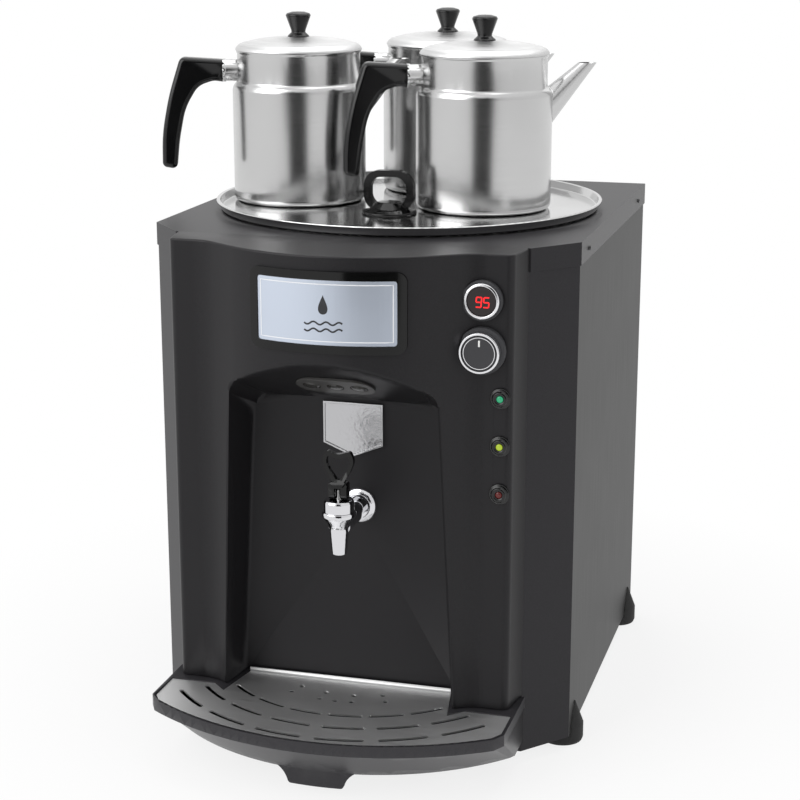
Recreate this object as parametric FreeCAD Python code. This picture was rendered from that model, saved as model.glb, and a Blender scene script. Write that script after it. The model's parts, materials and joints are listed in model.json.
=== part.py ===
"""Counter-top hot water urn: sheet-metal cabinet, moulded front with a cup niche, sprung tap,
drip tray, round steam plate and three teapots. Millimetres, +Z up, front towards -Y.
The origin is on the counter, midway between the four feet."""
import FreeCAD, Part
import math
import os

Vector = FreeCAD.Vector
X_AXIS = Vector(1, 0, 0)
Y_AXIS = Vector(0, 1, 0)
Z_AXIS = Vector(0, 0, 1)

# Cabinet: as wide and deep as the jacketed tank asks, with room beside it
TANK_SIDE_ROOM = 18.0
TANK_END_ROOM = 4.0
CHAMFER_WIDTH = 37.0
CHAMFER_DEPTH = 43.0
CABINET_HEIGHT = 472.0
FOOT_HEIGHT = 13.0
SHEET = 1.0
COVER_SHEET = 1.2
COVER_LIP = 21.0
FOLD = 11.0
PAN_RIM = 18.0

# Moulded front: how far each stretch of its plan stands out of the front sheet
PANEL_WALL = 3.0
PANEL_DRAFT = 6.0
PILLAR_OUT = 36.0
CREASE_HALF = 91.0
CREASE_OUT = 57.5
NOSE_OUT = 84.3
FLANK_HALF = 122.9
FLANK_ROUND = 40.0
PANEL_EDGE_ROUND = 7.0
PANEL_TOP_ROUND = 2.0

# Cup niche in the moulded front
NICHE_BACK_OUT = 5.0
NICHE_BACK_HALF_LOW = 101.5
NICHE_BACK_HALF_HIGH = 87.5
NICHE_BACK_TOP = 340.0
NICHE_REACH = 90.0
NICHE_SPLAY = 14.0
NICHE_CEILING_RISE_SIDE = 39.5
NICHE_CEILING_RISE_MID = 53.0
NICHE_CORNER = 11.0

# Drip tray: a rim with a bowed front, and a body that draws in under it
TRAY_OVER = 3.0
TRAY_TOP = 68.0
TRAY_SIDE_OUT = 86.0
TRAY_NOSE_OUT = 147.5
TRAY_CORNER = 12.0
TRAY_RIM = 10.5
TRAY_STEP = 3.0
TRAY_SIDE_STEP = 1.0
TRAY_DEPTH = 43.0
TRAY_LOW_SIDE_OUT = 35.0
TRAY_LOW_NOSE_OUT = 114.0
TRAY_LOW_CORNER = 6.0
TRAY_WALL = 2.5
TRAY_BACK_GAP = 0.6
TRAY_LEDGE = 5.0
PANEL_FOOT_GAP = 1.0
PULL_HALF = 26.5
PULL_FLARE = 15.5
PULL_DROP = 15.0
PULL_WALL = 3.0
PULL_ROUND = 5.0
RAIL_X = 110.0
RAIL_HALF = 8.0
RAIL_REACH = 60.0
RAIL_SHEET = 1.5
RAIL_FOOT = 10.0

# Grille that lies in the tray, with its slots and holes on arcs about one centre
GRILLE_SHEET = 1.5
GRILLE_RECESS = 1.0
GRILLE_EDGE = 3.0
GRILLE_PLAY = 0.4
GRILLE_GAP = 2.6
GRILLE_SIDE_GAP = 3.0
GRILLE_PILLAR_GAP = 9.0
GRILLE_UPTURN = 4.5
GRILLE_CENTRE_IN = 56.0
SLOT_WIDTH = 4.6
SLOT_PITCH = 17.1
SLOT_LENGTH = 12.1
SLOTS_IN_ROW = 6
SLOT_ROWS = (191.0, 166.0)
INNER_ROW = 140.0
INNER_PITCH = 15.4
INNER_LENGTH = 11.4
DRAIN_HOLE = 2.6
HOLE_ROWS = ((109.0, (-24.5, -8.1, 0.0, 8.1, 24.5)), (94.5, (-24.5, -8.1, 8.1, 24.5)))

# Water tank and what belongs to it
TANK_RADIUS = 170.0
TANK_FLANGE = 9.0
TANK_OUTLET_RISE = 14.0
TANK_CORNER = 14.0
PLATE_OFFSET = -27.5
JACKET = 12.0
ELEMENT_RADIUS = 95.0
ELEMENT_TUBE = 4.2
ELEMENT_CLEAR = 14.0

# Round top plate with the teapots on it
PLATE_OVER = 18.7
PLATE_RIM = 9.6
PLATE_SHEET = 1.0
PLATE_SKIRT = 12.0
SKIRT_GAP = 2.0
STEAM_PORT = 22.0
FILL_HOLE = 19.5

# Teapots
POT_RADIUS = 65.5
POT_NECK = 60.5
POT_SHOULDER = 113.0
POT_HEIGHT = 147.0
POT_SHEET = 1.0
LID_DOME = 13.0
LID_OVERHANG = 1.7
POT_FERRULE = 10.5
POT_FERRULE_HEIGHT = 127.5
FERRULE_START = -60.0
HANDLE_HALF_WIDTH = 9.0
HANDLE_ROUND = 4.5

# Tap
TAP_X = 10.0
TAP_HEIGHT = 241.0
TAP_REACH = 62.0
SPOUT_TIP_DROP = 26.0
SHANK_RADIUS = 8.0
STEM_RADIUS = 2.6
PIN_RADIUS = 1.5
LEVER_HALF_DEPTH = 5.1
LOOP_HEIGHT = 30.0

# Controls on the right-hand pillar
DIAL_IN = 26.0
THERMOMETER_Z = 445.0
THERMOMETER_RADIUS = 17.8
THERMOMETER_BARREL = 14.9
THERMOMETER_OUT = 5.5
BEZEL_RADIUS = 15.6
BEZEL_HIGH = 3.0
DIAL_RADIUS = 12.6
KNOB_Z = 401.0
KNOB_RADIUS = 17.8
KNOB_SKIRT_RADIUS = 20.9
KNOB_BASE = 7.6
KNOB_BORE = 5.0
KNOB_OUT = 15.0
SHAFT_RADIUS = 3.0
LAMP_IN = 9.5
LAMP_HEIGHTS = (359.0, 316.0, 272.5)
LAMP_RADIUS = 9.2
LAMP_BARREL = 6.6
LAMP_OUT = 5.0
LENS_RADIUS = 2.9

# Sign on the bulge and badge on the niche wall
SIGN_X = 3.0
SIGN_Z = 436.5
SIGN_WIDTH = 140.0
SIGN_HEIGHT = 71.5
SIGN_BORDER = 7.5
BADGE_X = 5.0
BADGE_TOP = 338.0
BADGE_WIDTH = 56.5
BADGE_SIDE = 39.0
BADGE_POINT = 50.5

# Feet, screws and cable gland
FOOT_RADIUS = 20.5
FOOT_OUT = 9.0
FOOT_INSET = 26.0
FOOT_UPRIGHT = 17.0
FOOT_POINT = 39.0
SCREW_SHANK = 2.0
SCREW_HEAD = 3.6
SCREW_YS = (-152.0, 136.0)
SCREW_DROP = 11.0
GLAND_X = -130.0
GLAND_Z = 60.0
GLAND_THREAD = 8.0

# Lamp housing in the niche ceiling
CEILING_LAMP_OUT = 42.0
CEILING_LAMP_HALF = 36.0
CEILING_LAMP_ROUND = 17.0
CEILING_LAMP_PITCH = 22.0
CEILING_FLANGE = 3.0
CEILING_LENS = 8.0

# Clearances
FIT = 0.05
SEAT = 0.3

HALF_WIDTH = TANK_RADIUS + JACKET + TANK_SIDE_ROOM
BACK_Y = TANK_RADIUS + JACKET + TANK_END_ROOM
SIDE_FRONT_Y = -BACK_Y
PANEL_HALF_BACK = HALF_WIDTH - CHAMFER_WIDTH
PANEL_HALF_FRONT = PANEL_HALF_BACK - PANEL_DRAFT
TRAY_HALF = PANEL_HALF_BACK + TRAY_OVER
DIAL_X = PANEL_HALF_FRONT - DIAL_IN
LAMP_X = PANEL_HALF_FRONT - LAMP_IN
TANK_BOTTOM = TAP_HEIGHT - TANK_OUTLET_RISE
PLATE_RADIUS = TANK_RADIUS + PLATE_OVER
FRONT_Y = SIDE_FRONT_Y - CHAMFER_DEPTH
FLOOR_Z = FOOT_HEIGHT
TOP_Z = FOOT_HEIGHT + CABINET_HEIGHT
NICHE_WALL_Y = FRONT_Y - NICHE_BACK_OUT
PILLAR_Y = FRONT_Y - PILLAR_OUT
NOSE_Y = FRONT_Y - NOSE_OUT
PANEL_FOOT_Z = TRAY_TOP + PANEL_FOOT_GAP
BULGE_SAG = NOSE_OUT - CREASE_OUT
BULGE_RADIUS = (CREASE_HALF ** 2 + BULGE_SAG ** 2) / (2 * BULGE_SAG)
BULGE_CENTRE_Y = NOSE_Y + BULGE_RADIUS
PLATE_Z = TOP_Z + SHEET
TAP_Y = NICHE_WALL_Y - TAP_REACH
SCREW_Z = TOP_Z - SCREW_DROP
GRILLE_TOP = TRAY_TOP - GRILLE_RECESS
GRILLE_LOW = GRILLE_TOP - GRILLE_SHEET
GRILLE_CENTRE_Y = FRONT_Y + GRILLE_CENTRE_IN
CEILING_TILT = math.degrees(math.atan2(NICHE_CEILING_RISE_MID, NICHE_REACH - NICHE_BACK_OUT))


def save(shape, node):
    """Write one node's solids to its own file."""
    shape.exportStep("parts/" + node + ".step")


def outline(corners, z=0.0):
    """Closed wire; a corner is (x, y), (x, y, radius), or (x, y, 0, via) reached by an arc through via."""
    count = len(corners)
    starts = []
    ends = []
    rounds = []
    for index, corner in enumerate(corners):
        here = Vector(corner[0], corner[1], z)
        radius = corner[2] if len(corner) > 2 else 0.0
        if radius <= 0:
            starts.append(here)
            ends.append(here)
            rounds.append(None)
            continue
        before = corners[index - 1]
        after = corners[(index + 1) % count]
        back = (Vector(before[0], before[1], z) - here).normalize()
        ahead = (Vector(after[0], after[1], z) - here).normalize()
        half = back.getAngle(ahead) / 2
        reach = radius / math.tan(half)
        bisector = (back + ahead).normalize()
        middle = here + bisector * (radius / math.sin(half) - radius)
        starts.append(here + back * reach)
        ends.append(here + ahead * reach)
        rounds.append(middle)
    edges = []
    for index, corner in enumerate(corners):
        start = ends[index - 1]
        finish = starts[index]
        if len(corner) > 3:
            via = Vector(corner[3][0], corner[3][1], z)
            edges.append(Part.Arc(start, via, finish).toShape())
        elif start.distanceToPoint(finish) > 1e-6:
            edges.append(Part.LineSegment(start, finish).toShape())
        if rounds[index] is not None:
            edges.append(Part.Arc(starts[index], rounds[index], ends[index]).toShape())
    return Part.Wire(edges)


def prism(corners, low, high):
    """Upright solid on a plan outline, from one height to another."""
    wire = corners if isinstance(corners, Part.Wire) else outline(corners)
    solid = Part.Face(wire).extrude(Vector(0, 0, high - low))
    return solid.translated(Vector(0, 0, low))


def plate_facing_front(corners, back_y, front_y):
    """Solid on an outline in X and Z, from its back plane forward to its front plane."""
    wire = corners if isinstance(corners, Part.Wire) else outline(corners)
    solid = Part.Face(wire).extrude(Vector(0, 0, back_y - front_y))
    solid.rotate(Vector(0, 0, 0), X_AXIS, 90)
    return solid.translated(Vector(0, back_y, 0))


def plate_facing_side(corners, low_x, high_x):
    """Solid on an outline in Y and Z, between two X planes."""
    wire = corners if isinstance(corners, Part.Wire) else outline(corners)
    solid = Part.Face(wire).extrude(Vector(0, 0, high_x - low_x))
    solid.rotate(Vector(0, 0, 0), Vector(1, 1, 1), 120)
    return solid.translated(Vector(low_x, 0, 0))


def block(low, high):
    """Box between two opposite corners."""
    size = [b - a for a, b in zip(low, high)]
    return Part.makeBox(size[0], size[1], size[2], Vector(*low))


def rounded_box(low, high, radius):
    """Box with its four upright edges rounded."""
    corners = [(low[0], low[1], radius), (high[0], low[1], radius),
               (high[0], high[1], radius), (low[0], high[1], radius)]
    return prism(corners, low[2], high[2])


def rod(radius, start, finish):
    """Cylinder between two points on its axis."""
    run = Vector(*finish) - Vector(*start)
    return Part.makeCylinder(radius, run.Length, Vector(*start), run)


def tube(outer, inner, start, finish):
    """Cylinder with a bore."""
    return rod(outer, start, finish).cut(rod(inner, start, finish))


def turned(profile, centre=(0, 0, 0), axis=Z_AXIS):
    """Solid turned from a closed profile of (radius, height) corners."""
    wire = outline(profile)
    wire.rotate(Vector(0, 0, 0), X_AXIS, 90)
    solid = Part.Solid(Part.Face(wire).revolve(Vector(0, 0, 0), Z_AXIS, 360).Shells[0])
    if solid.Volume < 0:
        solid.reverse()
    if axis == Y_AXIS:
        solid.rotate(Vector(0, 0, 0), X_AXIS, 90)
    return solid.translated(Vector(*centre))


def fuse(*shapes):
    """One solid of touching shapes, with shared faces merged."""
    return shapes[0].multiFuse(list(shapes[1:])).removeSplitter()


def group(shapes):
    """Separate identical solids kept in one node."""
    return Part.makeCompound(shapes)


def edges_near(shape, test):
    """Edges whose middle point passes a test."""
    found = []
    for edge in shape.Edges:
        middle = edge.valueAt((edge.FirstParameter + edge.LastParameter) / 2)
        if test(middle, edge):
            found.append(edge)
    return found


def cabinet_plan(inset):
    """Plan wire of the cabinet, moved inwards by inset."""
    nose = HALF_WIDTH - CHAMFER_WIDTH
    corners = [(-HALF_WIDTH, BACK_Y), (-HALF_WIDTH, SIDE_FRONT_Y), (-nose, FRONT_Y),
               (nose, FRONT_Y), (HALF_WIDTH, SIDE_FRONT_Y), (HALF_WIDTH, BACK_Y)]
    face = Part.Face(outline(corners))
    if inset == 0:
        return face.OuterWire
    return face.makeOffset2D(-inset, 2).OuterWire


def panel_plan(inset, back_y):
    """Plan wire of the moulded front, moved inwards by inset and closed at back_y."""
    corners = [(-PANEL_HALF_BACK, FRONT_Y), (-PANEL_HALF_FRONT, PILLAR_Y, PANEL_EDGE_ROUND),
               (-FLANK_HALF, PILLAR_Y, FLANK_ROUND), (-CREASE_HALF, FRONT_Y - CREASE_OUT),
               (CREASE_HALF, FRONT_Y - CREASE_OUT, 0, (0, NOSE_Y)),
               (FLANK_HALF, PILLAR_Y, FLANK_ROUND), (PANEL_HALF_FRONT, PILLAR_Y, PANEL_EDGE_ROUND),
               (PANEL_HALF_BACK, FRONT_Y)]
    face = Part.Face(outline(corners))
    if inset > 0:
        face = face.makeOffset2D(-inset, 2)
        deep = block((-HALF_WIDTH, FRONT_Y - PANEL_WALL - inset, -1), (HALF_WIDTH, back_y, 1))
        strip = face.extrude(Vector(0, 0, 1)).fuse(
            deep.common(block((-PANEL_HALF_BACK + inset, FRONT_Y - 2 * inset, 0),
                              (PANEL_HALF_BACK - inset, back_y, 1))))
        bottom = [item for item in strip.removeSplitter().Faces if abs(item.CenterOfMass.z) < 1e-6]
        return bottom[0].OuterWire
    return face.OuterWire


def niche_solid(grow):
    """Solid of the cup niche, wider by grow on its sides and ceiling and starting grow behind its wall."""
    def section(out, extra):
        share = (out - NICHE_BACK_OUT) / (NICHE_REACH - NICHE_BACK_OUT)
        low_z = PANEL_FOOT_Z - 20
        drop = (PANEL_FOOT_Z - low_z) / (NICHE_BACK_TOP - PANEL_FOOT_Z)
        taper = NICHE_BACK_HALF_LOW - NICHE_BACK_HALF_HIGH
        high = NICHE_BACK_HALF_HIGH + NICHE_SPLAY * share + extra
        low = NICHE_BACK_HALF_LOW + taper * drop + NICHE_SPLAY * share + extra
        side_top = NICHE_BACK_TOP + NICHE_CEILING_RISE_SIDE * share + extra
        mid_top = NICHE_BACK_TOP + NICHE_CEILING_RISE_MID * share + extra + 0.2
        lean = math.atan2(low - high, side_top - low_z)
        round_x = NICHE_CORNER + extra
        knee = Vector(high + math.tan(lean) * round_x, side_top - round_x)
        shoulder = Vector(high - round_x, side_top)
        elbow = Vector(high - round_x * 0.28, side_top - round_x * 0.28)
        edges = [Part.LineSegment(Vector(low, low_z), knee),
                 Part.Arc(knee, elbow, shoulder),
                 Part.Arc(shoulder, Vector(0, mid_top), Vector(-shoulder.x, shoulder.y)),
                 Part.Arc(Vector(-shoulder.x, shoulder.y), Vector(-elbow.x, elbow.y), Vector(-knee.x, knee.y)),
                 Part.LineSegment(Vector(-knee.x, knee.y), Vector(-low, low_z)),
                 Part.LineSegment(Vector(-low, low_z), Vector(low, low_z))]
        wire = Part.Wire([edge.toShape() for edge in edges])
        wire.rotate(Vector(0, 0, 0), X_AXIS, 90)
        return wire.translated(Vector(0, FRONT_Y - out, 0))
    back = section(NICHE_BACK_OUT - grow, grow)
    front = section(NICHE_REACH, grow)
    return Part.makeLoft([back, front], True, True)


def niche_ceiling_z(out):
    """Height of the middle of the niche ceiling at a distance out from the front sheet."""
    share = (out - NICHE_BACK_OUT) / (NICHE_REACH - NICHE_BACK_OUT)
    return NICHE_BACK_TOP + NICHE_CEILING_RISE_MID * share + 0.2


def on_ceiling(shape):
    """Place a shape drawn flat, facing down at the origin, on the sloping niche ceiling."""
    placed = shape.copy()
    placed.rotate(Vector(0, 0, 0), X_AXIS, -CEILING_TILT)
    return placed.translated(Vector(0, FRONT_Y - CEILING_LAMP_OUT, niche_ceiling_z(CEILING_LAMP_OUT)))


def stadium(half, radius):
    """Outline of a slot shape with round ends, centred on the origin."""
    return [(-half, -radius, radius * 0.999), (half, -radius, radius * 0.999),
            (half, radius, radius * 0.999), (-half, radius, radius * 0.999)]


def panel_envelope():
    """Outside of the moulded front, without its niche."""
    return prism(panel_plan(0, FRONT_Y), PANEL_FOOT_Z, TOP_Z)


def make_front_panel():
    """Moulded front shell with the cup niche, its lamp pocket and the holes for the controls."""
    envelope = panel_envelope()
    top_rim = edges_near(envelope, lambda mid, edge: mid.z > TOP_Z - 0.01 and mid.y < FRONT_Y - 1)
    envelope = envelope.makeFillet(PANEL_TOP_ROUND, top_rim)
    hollow = prism(panel_plan(PANEL_WALL, FRONT_Y + 1), PANEL_FOOT_Z + PANEL_WALL, TOP_Z - PANEL_WALL)
    shell = envelope.cut(hollow)
    front_limit = envelope.common(niche_solid(PANEL_WALL))
    shell = shell.fuse(front_limit).cut(niche_solid(0.0))
    shell = shell.cut(on_ceiling(prism(stadium(CEILING_LAMP_HALF - 2, CEILING_LAMP_ROUND - 2), -3, 9)))
    cuts = [rod(THERMOMETER_BARREL + 0.1, (DIAL_X, FRONT_Y, THERMOMETER_Z), (DIAL_X, NOSE_Y, THERMOMETER_Z)),
            rod(KNOB_BORE, (DIAL_X, FRONT_Y, KNOB_Z), (DIAL_X, NOSE_Y, KNOB_Z)),
            rod(SHANK_RADIUS + FIT, (TAP_X, FRONT_Y + 1, TAP_HEIGHT), (TAP_X, NOSE_Y, TAP_HEIGHT))]
    for height in LAMP_HEIGHTS:
        cuts.append(rod(LAMP_BARREL + 0.1, (LAMP_X, FRONT_Y, height), (LAMP_X, NOSE_Y, height)))
    return shell.cut(Part.makeCompound(cuts))


def make_cabinet():
    """Sheet-metal pieces of the cabinet."""
    ring_top = TOP_Z - COVER_SHEET
    outer = prism(cabinet_plan(0), FLOOR_Z, ring_top)
    inner = prism(cabinet_plan(SHEET), FLOOR_Z - 1, ring_top + 1)
    ring = outer.cut(inner)
    front = ring.common(block((-HALF_WIDTH, FRONT_Y, 0), (HALF_WIDTH, SIDE_FRONT_Y, TOP_Z)))
    wires_z = NICHE_BACK_TOP + 30
    window = plate_facing_front([(-26, wires_z, 8), (26, wires_z, 8), (26, wires_z + 40, 8),
                                 (-26, wires_z + 40, 8)], FRONT_Y + 5, FRONT_Y - 5)
    slot_low = min(LAMP_HEIGHTS) - 22.5
    slot_high = THERMOMETER_Z + 17
    control_slot = plate_facing_front([(DIAL_X - 5, slot_low, 6), (LAMP_X + 11.5, slot_low, 6),
                                       (LAMP_X + 11.5, slot_high, 6), (DIAL_X - 5, slot_high, 6)],
                                      FRONT_Y + 5, FRONT_Y - 5)
    shank_hole = rod(SHANK_RADIUS + 1, (TAP_X, FRONT_Y + 5, TAP_HEIGHT), (TAP_X, FRONT_Y - 5, TAP_HEIGHT))
    front = front.cut(window).cut(control_slot).cut(shank_hole)
    save(front, "front_chassis")

    for side, name in ((-1, "side_panel_left"), (1, "side_panel_right")):
        face = block((HALF_WIDTH - SHEET, SIDE_FRONT_Y, FLOOR_Z), (HALF_WIDTH, BACK_Y, ring_top))
        fold = block((HALF_WIDTH - FOLD, BACK_Y - SHEET, FLOOR_Z + PAN_RIM),
                     (HALF_WIDTH, BACK_Y, ring_top))
        panel = face.fuse(fold).removeSplitter()
        if side < 0:
            panel = panel.mirror(Vector(0, 0, 0), X_AXIS)
        save(panel, name)

    back_half = HALF_WIDTH - SHEET - 0.2
    back = block((-back_half, BACK_Y - 2 * SHEET, FLOOR_Z + SHEET), (back_half, BACK_Y - SHEET, ring_top))
    slots = []
    for column in (-1, 1):
        for row in range(9):
            centre_x = column * 80
            low_z = 90 + row * 12
            corners = [(centre_x - 34, low_z, 1.9), (centre_x + 34, low_z, 1.9),
                       (centre_x + 34, low_z + 4, 1.9), (centre_x - 34, low_z + 4, 1.9)]
            slots.append(plate_facing_front(corners, BACK_Y + 1, BACK_Y - 4))
    gland_hole = rod(GLAND_THREAD, (GLAND_X, BACK_Y - 5, GLAND_Z), (GLAND_X, BACK_Y + 5, GLAND_Z))
    save(back.cut(Part.makeCompound(slots)).cut(gland_hole), "back_panel")

    pan_outer = prism(cabinet_plan(SHEET), FLOOR_Z, FLOOR_Z + PAN_RIM)
    pan_outer = pan_outer.cut(block((-HALF_WIDTH, BACK_Y - 2 * SHEET, 0), (HALF_WIDTH, BACK_Y, TOP_Z)))
    pan_inner = prism(cabinet_plan(2 * SHEET), FLOOR_Z + SHEET, FLOOR_Z + PAN_RIM + 1)
    pan_inner = pan_inner.cut(block((-HALF_WIDTH, BACK_Y - 3 * SHEET, 0), (HALF_WIDTH, BACK_Y, TOP_Z)))
    pan = pan_outer.cut(pan_inner)
    vents = []
    for column in range(5):
        for row in range(4):
            vents.append(rod(4, (-60 + column * 30, -60 + row * 30, 0), (-60 + column * 30, -60 + row * 30, 40)))
    save(pan.cut(Part.makeCompound(vents)), "base_pan")

    skin = prism(cabinet_plan(-COVER_SHEET), TOP_Z - COVER_LIP, TOP_Z)
    inside = prism(cabinet_plan(0), TOP_Z - COVER_LIP - 1, TOP_Z - COVER_SHEET)
    cover = skin.cut(inside)
    cover = cover.cut(block((-HALF_WIDTH, FRONT_Y - 5, 0), (HALF_WIDTH, FRONT_Y, TOP_Z + 1)))
    mouth = rod(TANK_RADIUS + SEAT, (0, PLATE_OFFSET, TOP_Z - 5), (0, PLATE_OFFSET, TOP_Z + 1))
    holes = [rod(SCREW_SHANK, (side * (HALF_WIDTH - 8), y, SCREW_Z), (side * (HALF_WIDTH + 8), y, SCREW_Z))
             for side in (-1, 1) for y in SCREW_YS]
    save(cover.cut(mouth).cut(Part.makeCompound(holes)), "top_cover")

    screws = []
    for side in (-1, 1):
        for y in SCREW_YS:
            screws.append(rod(SCREW_HEAD, (side * (HALF_WIDTH + COVER_SHEET), y, SCREW_Z),
                              (side * (HALF_WIDTH + COVER_SHEET + 1.6), y, SCREW_Z)))
    for side in (-1, 1):
        for height in (60, 250, 440):
            screws.append(rod(SCREW_HEAD, (side * (HALF_WIDTH - FOLD / 2 - 0.5), BACK_Y, height),
                              (side * (HALF_WIDTH - FOLD / 2 - 0.5), BACK_Y + 1.6, height)))
    save(group(screws), "screws")
    save(make_front_panel(), "front_panel")


def make_feet():
    """Four round feet that stand proud of the side panels and run up them to a point."""
    feet = []
    for side in (-1, 1):
        for y in (SIDE_FRONT_Y + FOOT_INSET, BACK_Y - FOOT_INSET):
            centre = (HALF_WIDTH + FOOT_OUT - FOOT_RADIUS, y, 0)
            post = turned([(0, 0), (FOOT_RADIUS - 1.2, 0), (FOOT_RADIUS, 3), (FOOT_RADIUS, FOOT_UPRIGHT),
                           (0, FOOT_UPRIGHT)], centre)
            shoulder = Part.Wire([Part.makeCircle(FOOT_RADIUS, Vector(centre[0], y, FOOT_UPRIGHT))])
            point = Part.Wire([Part.makeCircle(1.5, Vector(HALF_WIDTH - 0.3, y, FOOT_POINT))])
            cone = Part.makeLoft([shoulder, point], True, True)
            outside = block((HALF_WIDTH, y - FOOT_RADIUS, -1),
                            (HALF_WIDTH + FOOT_RADIUS, y + FOOT_RADIUS, FOOT_POINT + 1))
            under = block((0, y - FOOT_RADIUS, -1), (HALF_WIDTH + FOOT_RADIUS, y + FOOT_RADIUS, FLOOR_Z))
            foot = fuse(post.common(under), post.common(outside), cone.common(outside))
            if side < 0:
                foot = foot.mirror(Vector(0, 0, 0), X_AXIS)
            feet.append(foot)
    save(group(feet), "feet")


def make_sign_and_badge():
    """Framed sign that follows the bulge, and the shield badge on the niche wall."""
    def patch(half_width, half_height, corner, inner_radius, outer_radius):
        window = plate_facing_front([(SIGN_X - half_width, SIGN_Z - half_height, corner),
                                     (SIGN_X + half_width, SIGN_Z - half_height, corner),
                                     (SIGN_X + half_width, SIGN_Z + half_height, corner),
                                     (SIGN_X - half_width, SIGN_Z + half_height, corner)],
                                    FRONT_Y, NOSE_Y - 20)
        low = (0, BULGE_CENTRE_Y, SIGN_Z - half_height - 1)
        high = (0, BULGE_CENTRE_Y, SIGN_Z + half_height + 1)
        return tube(outer_radius, inner_radius, low, high).common(window)
    back = BULGE_RADIUS + 0.05
    frame = patch(SIGN_WIDTH / 2, SIGN_HEIGHT / 2, 9, back, back + 2.4)
    inset = SIGN_BORDER
    recess = patch(SIGN_WIDTH / 2 - inset, SIGN_HEIGHT / 2 - inset, 3, back + 0.9, back + 3)
    save(frame.cut(recess), "sign_frame")
    face = patch(SIGN_WIDTH / 2 - inset - 0.1, SIGN_HEIGHT / 2 - inset - 0.1, 2.9, back + 0.95, back + 1.9)
    save(face, "sign_plate")

    half = BADGE_WIDTH / 2
    shield = [(BADGE_X - half, BADGE_TOP), (BADGE_X - half, BADGE_TOP - BADGE_SIDE),
              (BADGE_X, BADGE_TOP - BADGE_POINT), (BADGE_X + half, BADGE_TOP - BADGE_SIDE),
              (BADGE_X + half, BADGE_TOP)]
    outer = outline(shield)
    inner = Part.Face(outer).makeOffset2D(-2.0, 2).OuterWire
    badge = plate_facing_front(outer, NICHE_WALL_Y, NICHE_WALL_Y - 3.2)
    save(badge.cut(plate_facing_front(inner, NICHE_WALL_Y - 2.2, NICHE_WALL_Y - 5)), "badge")


def make_niche_lamp():
    """Grey housing with three round lenses in the niche ceiling."""
    flange = on_ceiling(prism(stadium(CEILING_LAMP_HALF, CEILING_LAMP_ROUND), -CEILING_FLANGE, 6))
    flange = flange.common(niche_solid(-0.1))
    tub = on_ceiling(prism(stadium(CEILING_LAMP_HALF - 2.3, CEILING_LAMP_ROUND - 2.3),
                           -CEILING_FLANGE / 2, 14))
    housing = fuse(flange, tub)
    lenses = []
    for place in (-1, 0, 1):
        x = place * CEILING_LAMP_PITCH
        housing = housing.cut(on_ceiling(rod(CEILING_LENS, (x, 0, -CEILING_FLANGE - 1), (x, 0, 2))))
        lens = turned([(0, -CEILING_FLANGE - 1.2), (CEILING_LENS - 3, -CEILING_FLANGE - 0.8),
                       (CEILING_LENS - FIT, 0.6 - CEILING_FLANGE), (CEILING_LENS - FIT, 2), (0, 2)], (x, 0, 0))
        lenses.append(on_ceiling(lens))
    save(housing, "niche_lamp_housing")
    save(group(lenses), "niche_lamp_lenses")


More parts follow.
